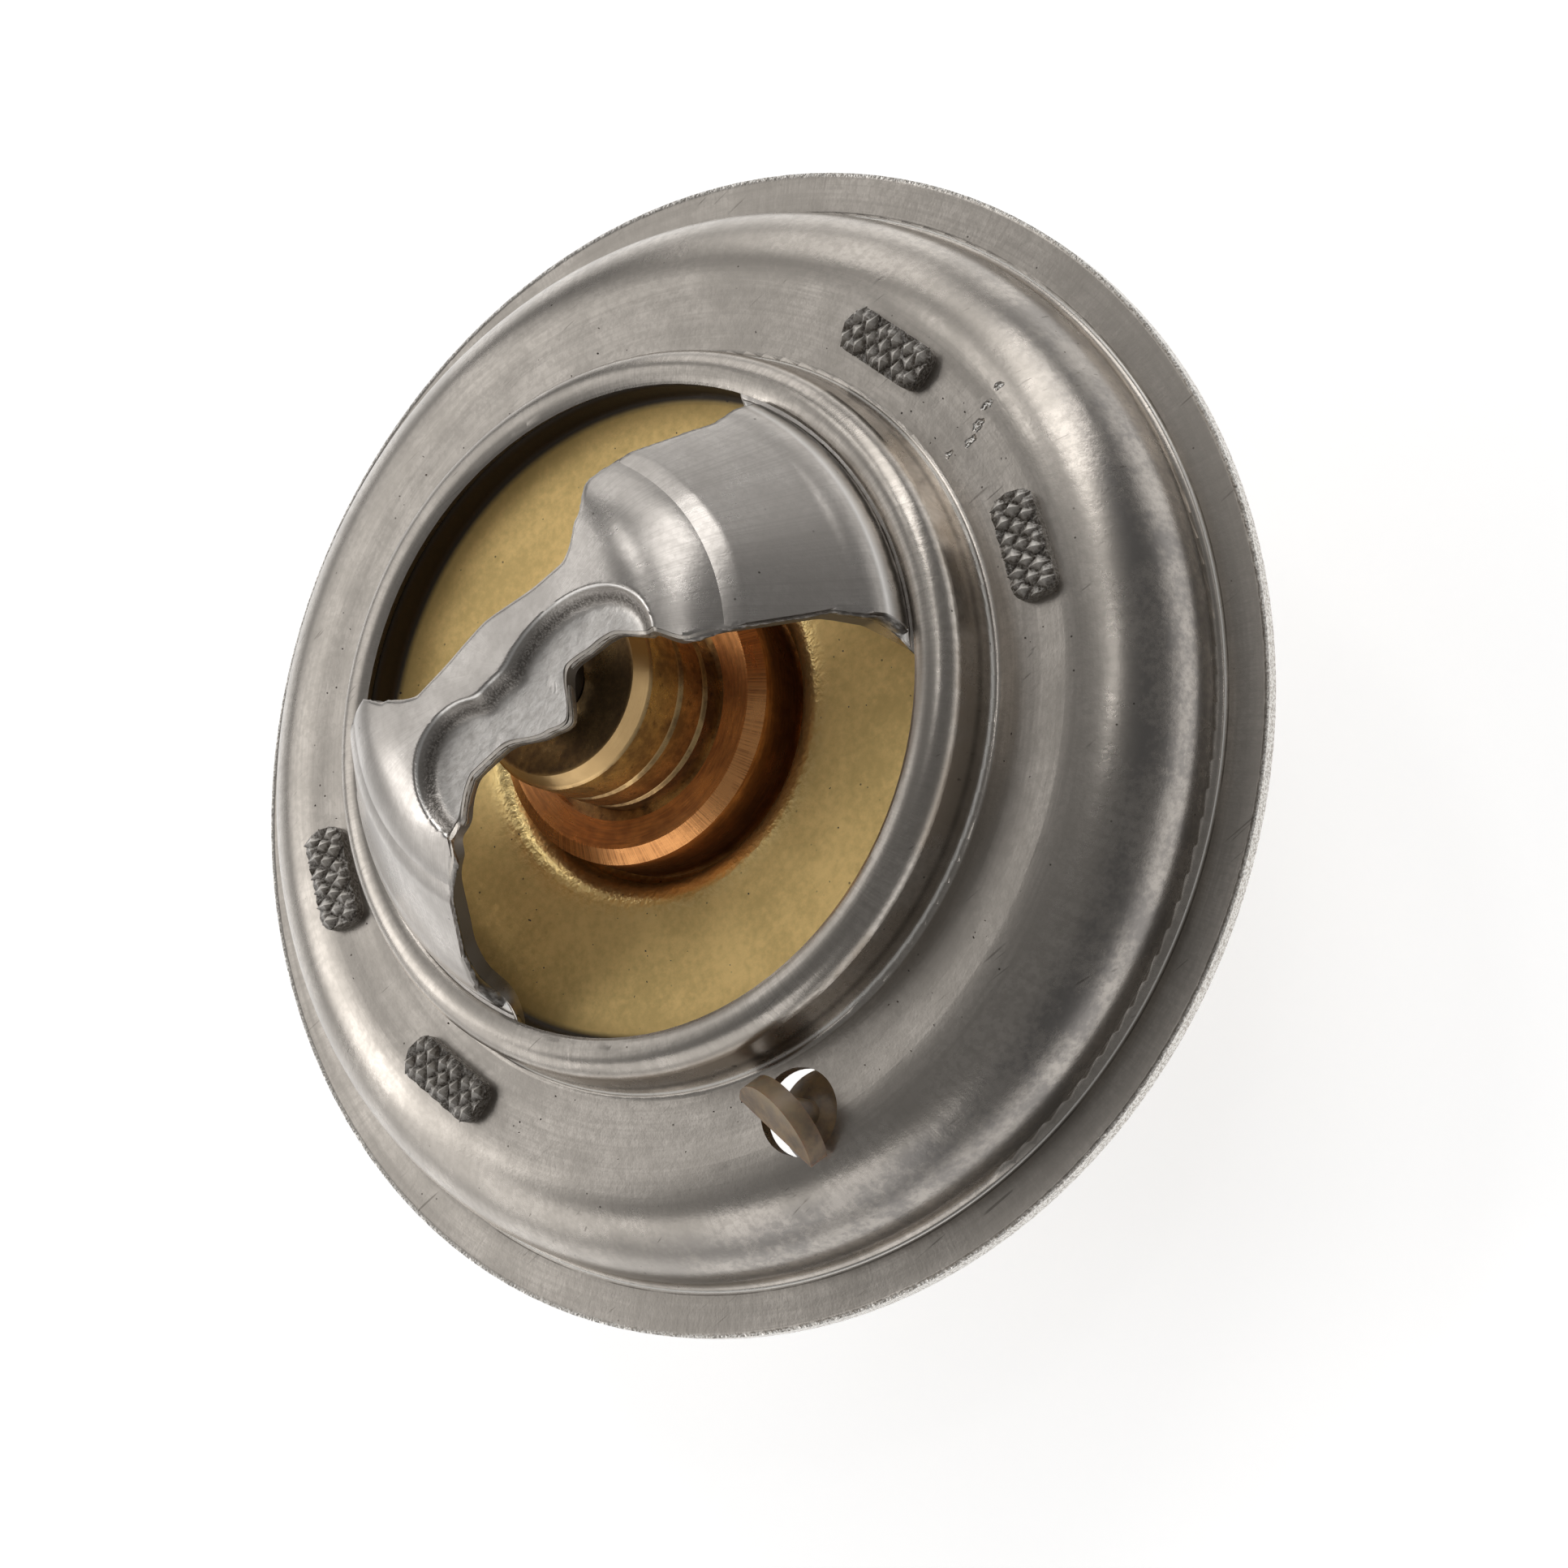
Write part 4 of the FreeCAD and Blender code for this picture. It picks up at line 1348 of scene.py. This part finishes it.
    def press_marks(self, bent: np.ndarray, reach: np.ndarray) -> np.ndarray:
        """Height of the fine press marks.

        They are the crease and the burnished, chipped band at each root, soft dents on the legs,
        the rough floor of the trough and the two curled creases at its front edge.

        Args:
            bent: Points of the bent strip.
            reach: How far into the trough each point lies.

        Returns:
            Height above the skin in millimetres.
        """
        x, y = bent[:, :, 0], bent[:, :, 1]
        radius = np.hypot(x, y)
        crease = np.exp(-((radius - self.root_crease) / 0.1) ** 2) * -0.02
        flank = np.exp(-((radius - self.root_flank) / 0.16) ** 2) * 0.03
        turn = np.arctan2(y, x) * 14.0
        chips = np.maximum(wander(turn, 0.35, 12) + wander(radius * 4, 0.9, 13) - 0.75, 0)
        band = np.exp(-((radius - self.root_band) / 0.16) ** 2) * (0.01 - 0.04 * chips)
        dents = wander(x * 0.9 + y * 0.5, 1.3, 5) * wander(y, 1.6, 6) * 0.008
        rough = wander(x + y * 0.4, 0.34, 15) * wander(y - x * 0.3, 0.3, 16) * 0.016
        rough += wander(x - y * 0.5, 0.8, 17) * wander(y + x * 0.2, 0.9, 18) * 0.03
        marks = crease + flank + band + dents + rough * smooth_step(reach * 2)
        for centre_x, centre_y, size, start, end in self.creases:
            away = np.hypot(x - centre_x, y - centre_y)
            bearing = np.degrees(np.arctan2(y - centre_y, x - centre_x)) % 360
            inside = smooth_step((bearing - start) / 25) * smooth_step((end - bearing) / 25)
            marks += inside * (np.exp(-((away - size) / 0.05) ** 2) * -0.045)
            marks += np.exp(-(away / size) ** 4) * 0.05
        return marks

    def build(self, material: bpy.types.Material) -> bpy.types.Object:
        """Build the skin.

        Args:
            material: The bridge's steel.

        Returns:
            The finished piece.
        """
        skin, rim, reach = self.skin()
        rows, columns = skin.shape[:2]
        faces = tube_faces(rows, columns)
        faces.append(tuple(range(columns)))
        faces.append(tuple((rows - 1) * columns + column for column in reversed(range(columns))))
        piece = new_piece("bridge_skin", skin.reshape(-1, 3), faces, material, 55.0)
        for name, share in (("rim", rim), ("trough", reach)):
            attribute = piece.data.attributes.new(name, "FLOAT", "POINT")
            if len(piece.data.vertices) == share.size:
                attribute.data.foreach_set("value", share.reshape(-1).astype(np.float32))
        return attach(piece, self.body.value)


class GeometryTree(TreeMaker):
    """A Geometry Nodes tree with named inputs, which ends in realized instances and one material."""

    def __init__(self, name: str, sizes: dict[str, float]) -> None:
        """Start a tree.

        Args:
            name: The tree's name.
            sizes: Named inputs with the values they start from.
        """
        group = bpy.data.node_groups.new(name, "GeometryNodeTree")
        super().__init__(group)
        group.interface.new_socket("Geometry", in_out="INPUT", socket_type="NodeSocketGeometry")
        group.interface.new_socket("Geometry", in_out="OUTPUT", socket_type="NodeSocketGeometry")
        for label in sizes:
            group.interface.new_socket(label, in_out="INPUT", socket_type="NodeSocketFloat")
        self.sizes = sizes
        self.entry = self.node("NodeGroupInput")
        self.last = self.node("NodeGroupOutput")

    def size(self, label: str) -> Value:
        """One of the named inputs.

        Args:
            label: Its name.

        Returns:
            Its value.
        """
        return Value(self, self.entry.outputs[label])

    def close(self, geometry: bpy.types.NodeSocket, material: bpy.types.Material) -> None:
        """End the tree.

        Args:
            geometry: What the tree made.
            material: Its finish.
        """
        real = self.node("GeometryNodeRealizeInstances", None, {0: geometry})
        painted = self.node("GeometryNodeSetMaterial", None,
                            {"Geometry": real.outputs[0], "Material": material})
        self.tree.links.new(painted.outputs[0], self.last.inputs[0])

    def grow(self, name: str, base: bpy.types.Mesh, material: bpy.types.Material) -> bpy.types.Object:
        """Run the tree on a mesh and turn the result into a plain piece.

        Args:
            name: The piece's name.
            base: The mesh that the tree starts from.
            material: The piece's finish.

        Returns:
            The finished piece.
        """
        carrier = bpy.data.objects.new(name + "_base", base)
        bpy.context.scene.collection.objects.link(carrier)
        modifier = carrier.modifiers.new("nodes", "NODES")
        modifier.node_group = self.tree
        for item in self.tree.interface.items_tree:
            if item.item_type == "SOCKET" and item.in_out == "INPUT" and item.name in self.sizes:
                modifier[item.identifier] = self.sizes[item.name]
        bpy.context.view_layer.update()
        graph = bpy.context.evaluated_depsgraph_get()
        mesh = bpy.data.meshes.new_from_object(carrier.evaluated_get(graph))
        bpy.data.objects.remove(carrier)
        return finish_piece(name, mesh, material)


@dataclass
class MainSpring:
    """The coil spring, swept smoothly and ground flat at both ends."""

    wire_radius: float = 0.8
    coil_radius: float = 9.45
    floor: float = -16.0
    ceiling: float = 6.65
    turns: float = 7.0
    end_turns: float = 1.0
    ground_share: float = 0.6
    steps_per_turn: int = 72
    sides: int = 20
    body: Body = Body.FRAME
    joint: str = "valve_lift"

    def tree(self, material: bpy.types.Material) -> GeometryTree:
        """The tree that winds the wire.

        Args:
            material: The wire's finish.

        Returns:
            The tree.
        """
        sizes = {"Coil radius": self.coil_radius * MM, "Wire radius": self.wire_radius * MM,
                 "Floor": self.floor * MM, "Ceiling": self.ceiling * MM, "Turns": self.turns,
                 "End turns": self.end_turns, "Ground": self.wire_radius * self.ground_share * MM}
        tree = GeometryTree("wound_spring", sizes)
        points = int(self.turns * self.steps_per_turn)
        line = tree.node("GeometryNodeCurvePrimitiveLine", None, {"End": (0.0, 0.0, 1.0)})
        fine = tree.node("GeometryNodeResampleCurve", None, {"Curve": line.outputs[0], "Count": points})
        share = tree.value("GeometryNodeSplineParameter", None, None, "Factor")
        turn = share * tree.size("Turns")
        angle = turn * math.tau
        x = tree.value("ShaderNodeMath", {"operation": "COSINE"}, {0: angle}) * tree.size("Coil radius")
        y = tree.value("ShaderNodeMath", {"operation": "SINE"}, {0: angle}) * tree.size("Coil radius")
        active = tree.size("Turns") - tree.size("End turns") * 2.0
        low = tree.size("Floor") + tree.size("Ground")
        high = tree.size("Ceiling") - tree.size("Ground")
        end_pitch = tree.size("Wire radius") * 2.0
        active_pitch = (high - low - tree.size("End turns") * 2.0 * end_pitch) / active
        in_low = turn.least(tree.size("End turns"))
        in_active = (turn - tree.size("End turns")).most(0.0).least(active)
        in_high = (turn - tree.size("End turns") - active).most(0.0)
        z = low + (in_low + in_high) * end_pitch + in_active * active_pitch
        place = tree.node("ShaderNodeCombineXYZ", None, {0: x, 1: y, 2: z})
        coil = tree.node("GeometryNodeSetPosition", None,
                         {"Geometry": fine.outputs[0], "Position": place.outputs[0]})
        ring = tree.node("GeometryNodeCurvePrimitiveCircle", None,
                         {"Resolution": self.sides, "Radius": tree.size("Wire radius")})
        wire = tree.node("GeometryNodeCurveToMesh", None,
                         {"Curve": coil.outputs[0], "Profile Curve": ring.outputs[0], "Fill Caps": True})
        position = tree.node("GeometryNodeInputPosition")
        spot = tree.node("ShaderNodeSeparateXYZ", None, {0: position.outputs[0]})
        ground = Value(tree, spot.outputs["Z"]).most(tree.size("Floor")).least(tree.size("Ceiling"))
        flat = tree.node("ShaderNodeCombineXYZ", None,
                         {0: spot.outputs["X"], 1: spot.outputs["Y"], 2: ground})
        ends = tree.node("GeometryNodeSetPosition", None,
                         {"Geometry": wire.outputs[0], "Position": flat.outputs[0]})
        tree.close(ends.outputs[0], material)
        return tree

    def build(self, material: bpy.types.Material) -> bpy.types.Object:
        """Build the spring.

        Args:
            material: The wire's finish.

        Returns:
            The finished piece.
        """
        empty = bpy.data.meshes.new("spring_start")
        piece = self.tree(material).grow("spring_coil", empty, material)
        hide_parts("main_spring")
        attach(piece, self.body.value)
        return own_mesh(piece)


@dataclass
class TabKnurls:
    """Crushed pyramids of the knurling on the four staked tab heads, in staggered rows."""

    along_pitch: float = 0.80
    across_pitch: float = 0.53
    rows: int = 3
    row_reach: float = 2.05
    head_radius: float = 19.2
    base_height: float = 6.60
    tooth_height: float = 0.36
    seed: int = 7
    angles: tuple[float, ...] = (-18.2, 18.2, 161.8, 198.2)
    body: Body = Body.FRAME

    def spots(self) -> bpy.types.Mesh:
        """Points at the middle of each pyramid.

        Returns:
            A mesh without faces, whose points carry the bearing of their head.
        """
        places = []
        bearings = []
        columns = int(self.row_reach / self.along_pitch) + 1
        for angle in self.angles:
            bearing = math.radians(angle)
            for row in range(-(self.rows // 2), self.rows // 2 + 1):
                for column in range(-columns, columns + 1):
                    across = row * self.across_pitch
                    along = (column + 0.5 * (row % 2)) * self.along_pitch
                    if abs(along) > self.row_reach:
                        continue
                    out = self.head_radius + across
                    places.append((math.cos(bearing) * out - math.sin(bearing) * along,
                                   math.sin(bearing) * out + math.cos(bearing) * along, self.base_height))
                    bearings.append(bearing)
        mesh = bpy.data.meshes.new("knurl_spots")
        mesh.from_pydata((np.array(places) * MM).tolist(), [], [])
        mesh.attributes.new("bearing", "FLOAT", "POINT").data.foreach_set("value", bearings)
        return mesh

    def tree(self, material: bpy.types.Material) -> GeometryTree:
        """The tree that sets an uneven pyramid on each point.

        Args:
            material: The tabs' finish.

        Returns:
            The tree.
        """
        sizes = {"Half width": self.across_pitch * 1.03 * MM, "Height": self.tooth_height * MM}
        tree = GeometryTree("crushed_knurls", sizes)
        tooth = tree.node("GeometryNodeMeshCone", None,
                          {"Vertices": 4, "Radius Top": 0.00005, "Radius Bottom": tree.size("Half width"),
                           "Depth": tree.size("Height")})
        bearing = tree.value("GeometryNodeInputNamedAttribute", {"data_type": "FLOAT"}, {"Name": "bearing"})
        leaning = tree.node("FunctionNodeRandomValue", {"data_type": "FLOAT_VECTOR"},
                            {"Min": (-0.16, -0.16, -0.18), "Max": (0.16, 0.16, 0.18), "Seed": self.seed})
        upright = tree.node("ShaderNodeCombineXYZ", None, {2: bearing})
        turning = tree.node("ShaderNodeVectorMath", {"operation": "ADD"},
                            {0: leaning.outputs[0], 1: upright.outputs[0]})
        squeeze = self.along_pitch / 2 / self.across_pitch
        sizing = tree.node("FunctionNodeRandomValue", {"data_type": "FLOAT_VECTOR"},
                           {"Min": (0.92, squeeze * 0.92, 0.7), "Max": (1.08, squeeze * 1.08, 1.1),
                            "Seed": self.seed + 1})
        teeth = tree.node("GeometryNodeInstanceOnPoints", None,
                          {"Points": tree.entry.outputs[0], "Instance": tooth.outputs[0],
                           "Rotation": turning.outputs[0], "Scale": sizing.outputs[0]})
        tree.close(teeth.outputs[0], material)
        return tree

    def build(self, material: bpy.types.Material) -> bpy.types.Object:
        """Build the pyramids on all four heads.

        Args:
            material: The tabs' finish.

        Returns:
            The finished piece.
        """
        piece = self.tree(material).grow("tab_knurls", self.spots(), material)
        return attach(piece, self.body.value)


@dataclass
class Specks:
    """Grains of dirt scattered on one flat ring of the object."""

    name: str
    inner: float
    outer: float
    height: float
    count: int
    seed: int
    body: Body
    grain: float = 0.035

    def spots(self) -> bpy.types.Mesh:
        """Points scattered over the ring.

        Returns:
            A mesh without faces.
        """
        draw = np.random.default_rng(self.seed)
        radius = np.sqrt(draw.uniform(self.inner ** 2, self.outer ** 2, self.count))
        angle = draw.uniform(0, math.tau, self.count)
        heights = np.full(self.count, self.height)
        places = np.column_stack([radius * np.cos(angle), radius * np.sin(angle), heights])
        mesh = bpy.data.meshes.new(self.name + "_spots")
        mesh.from_pydata((places * MM).tolist(), [], [])
        return mesh

    def build(self, material: bpy.types.Material) -> bpy.types.Object:
        """Build the grains.

        Args:
            material: Their finish.

        Returns:
            The finished piece.
        """
        tree = GeometryTree(self.name + "_scatter", {"Grain": self.grain * MM})
        grain = tree.node("GeometryNodeMeshIcoSphere", None,
                          {"Radius": tree.size("Grain"), "Subdivisions": 1})
        turning = tree.node("FunctionNodeRandomValue", {"data_type": "FLOAT_VECTOR"},
                            {"Min": (-0.3, -0.3, -3.1), "Max": (0.3, 0.3, 3.1), "Seed": self.seed})
        sizing = tree.node("FunctionNodeRandomValue", {"data_type": "FLOAT_VECTOR"},
                           {"Min": (0.5, 0.5, 0.3), "Max": (2.2, 1.6, 0.8), "Seed": self.seed + 1})
        grains = tree.node("GeometryNodeInstanceOnPoints", None,
                           {"Points": tree.entry.outputs[0], "Instance": grain.outputs[0],
                            "Rotation": turning.outputs[0], "Scale": sizing.outputs[0]})
        tree.close(grains.outputs[0], material)
        piece = tree.grow(self.name, self.spots(), material)
        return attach(piece, self.body.value)


@dataclass
class Housing:
    """The stamped housing, with the bridge's skin and the dirt on its ring."""

    bridge: Bridge = field(default_factory=Bridge)
    specks: Specks = field(default_factory=lambda: Specks(
        name="ring_specks", inner=17.3, outer=20.2, height=6.055, count=90, seed=21, body=Body.FRAME))

    def build(self, dust: bpy.types.Material) -> list[bpy.types.Object]:
        """Dress the housing and build what lies on it.

        Args:
            dust: The dirt's finish.

        Returns:
            The new pieces.
        """
        dress("housing", StampedSteel().build())
        return [self.bridge.build(BridgeSteel().build()), self.specks.build(dust)]


@dataclass
class Cage:
    """The cage, with the crushed knurling on its tab heads."""

    knurls: TabKnurls = field(default_factory=TabKnurls)

    def build(self) -> list[bpy.types.Object]:
        """Dress the cage and build its knurling.

        Returns:
            The new pieces.
        """
        steel = TabSteel().build()
        dress("cage", steel)
        return [self.knurls.build(steel)]


@dataclass
class Valve:
    """The moving valve: disc, cup, guide, and what the cup holds."""

    specks: Specks = field(default_factory=lambda: Specks(
        name="disc_specks", inner=8.4, outer=13.6, height=7.255, count=70, seed=33, body=Body.VALVE,
        grain=0.03))

    def build(self, dust: bpy.types.Material) -> list[bpy.types.Object]:
        """Dress the valve's nodes and build the dirt on its disc.

        Args:
            dust: The dirt's finish.

        Returns:
            The new pieces.
        """
        dress("valve_disc", DiscBrass().build())
        dress("wax_cup", CupCopper().build())
        dress("guide", GuideBronze().build())
        dress("backup_ring", RingPlastic().build())
        dress("sleeve", MouldedRubber().build())
        dress("wax", CopperWax().build())
        return [self.specks.build(dust)]


@dataclass(frozen=True)
class SoftBox:
    """One soft light, in metres. Its direction is right, up and towards the camera, as the camera sees it."""

    name: str
    toward: tuple[float, float, float]
    distance: float
    size: tuple[float, float]
    glow: float


@dataclass
class Studio:
    """White paper floor, soft lights and the camera at the photograph's angle. Lengths are in metres."""

    floor_height: float = -0.0184
    floor_half_size: float = 1.5
    camera_place: tuple[float, float, float] = (0.05975, -0.09142, 0.15618)
    camera_target: tuple[float, float, float] = (0.000768, -0.003004, 0.0)
    camera_roll: float = -71.55
    sensor: float = 36.0
    lens: float = 95.53
    sky: Colour = (0.17, 0.17, 0.17)
    boxes: tuple[SoftBox, ...] = (
        SoftBox("key_strip", (0.0, 0.90, 0.44), distance=1.5, size=(0.60, 1.15), glow=2.0),
        SoftBox("near_card", (-0.20, 0.50, 0.84), distance=1.5, size=(0.7, 0.6), glow=0.40),
        SoftBox("spark", (-0.10, 0.40, 0.90), distance=1.4, size=(0.10, 0.22), glow=4.0),
        SoftBox("shoulder_spark", (-0.53, 0.69, 0.48), distance=1.4, size=(0.20, 0.26), glow=4.5),
        SoftBox("back_box", (-0.34, 0.94, -0.08), distance=1.6, size=(1.0, 0.9), glow=0.9),
        SoftBox("left_box", (-0.95, 0.22, 0.0), distance=1.5, size=(1.5, 1.3), glow=0.9),
        SoftBox("leg_box", (-1.0, -0.06, -0.02), distance=1.5, size=(0.5, 0.6), glow=1.6),
        SoftBox("side_card", (-0.87, -0.47, -0.12), distance=1.4, size=(0.9, 0.8), glow=1.0),
        SoftBox("lower_card", (-0.40, -0.84, 0.36), distance=1.3, size=(1.2, 0.9), glow=0.85),
    )

    def camera_turn(self) -> Matrix:
        """The camera's rotation, from its place, target and roll.

        Returns:
            The rotation.
        """
        away = (Vector(self.camera_target) - Vector(self.camera_place)).normalized()
        level = away.to_track_quat("-Z", "Y").to_matrix()
        roll = Euler((0, 0, math.radians(self.camera_roll))).to_matrix()
        return level @ roll

    def add_camera(self) -> None:
        """Add the camera and make it the scene's."""
        data = bpy.data.cameras.new("photo_camera")
        data.sensor_width = self.sensor
        data.lens = self.lens
        data.clip_start = 0.01
        data.clip_end = 10.0
        camera = bpy.data.objects.new("photo_camera", data)
        camera.matrix_world = Matrix.Translation(self.camera_place) @ self.camera_turn().to_4x4()
        bpy.context.scene.collection.objects.link(camera)
        bpy.context.scene.camera = camera

    def add_floor(self) -> None:
        """Add the paper floor under the cage's neck; it glows as a painted pool of light."""
        half = self.floor_half_size / MM
        height = self.floor_height / MM
        signs = ((-1, -1), (1, -1), (1, 1), (-1, 1))
        corners = np.array([(side * half, end * half, height) for side, end in signs])
        mesh = bpy.data.meshes.new("floor")
        mesh.from_pydata((corners * MM).tolist(), [], [(0, 1, 2, 3)])
        mesh.materials.append(StudioPaper().build())
        floor = bpy.data.objects.new("floor", mesh)
        bpy.context.scene.collection.objects.link(floor)

    def add_light(self, box: SoftBox) -> None:
        """Add one soft box that faces the object.

        Args:
            box: The soft box.
        """
        direction = (self.camera_turn() @ Vector(box.toward)).normalized()
        width, height = box.size
        data = bpy.data.lights.new(box.name, "AREA")
        data.shape = "RECTANGLE"
        data.size = width
        data.size_y = height
        data.energy = box.glow * math.pi * width * height
        light = bpy.data.objects.new(box.name, data)
        light.matrix_world = (Matrix.Translation(direction * box.distance)
                              @ (-direction).to_track_quat("-Z", "Y").to_matrix().to_4x4())
        bpy.context.scene.collection.objects.link(light)

    def add_sky(self) -> None:
        """Give the room its dim even light."""
        world = bpy.data.worlds.new("studio_room")
        bpy.context.scene.world = world
        world.use_nodes = True
        backdrop = world.node_tree.nodes["Background"]
        backdrop.inputs["Color"].default_value = (*self.sky, 1.0)
        backdrop.inputs["Strength"].default_value = 1.0

    def build(self) -> None:
        """Set up the whole studio."""
        self.add_camera()
        self.add_floor()
        self.add_sky()
        bpy.context.scene.view_settings.view_transform = "Standard"
        for box in self.boxes:
            self.add_light(box)


def main() -> None:
    """Build the looks in order and report each piece."""
    dust = Dust().build()
    pieces = Housing().build(dust)
    pieces += Cage().build()
    pieces += Valve().build(dust)
    pieces.append(MainSpring().build(DrawnWire().build()))
    dress("piston", GroundSteel().build())
    dress("jiggle_pin", LeafNylon().build())
    Studio().build()
    for piece in pieces:
        log.info("%s: %d points", piece.name, len(piece.data.vertices))


if __name__ == "__main__":
    main()
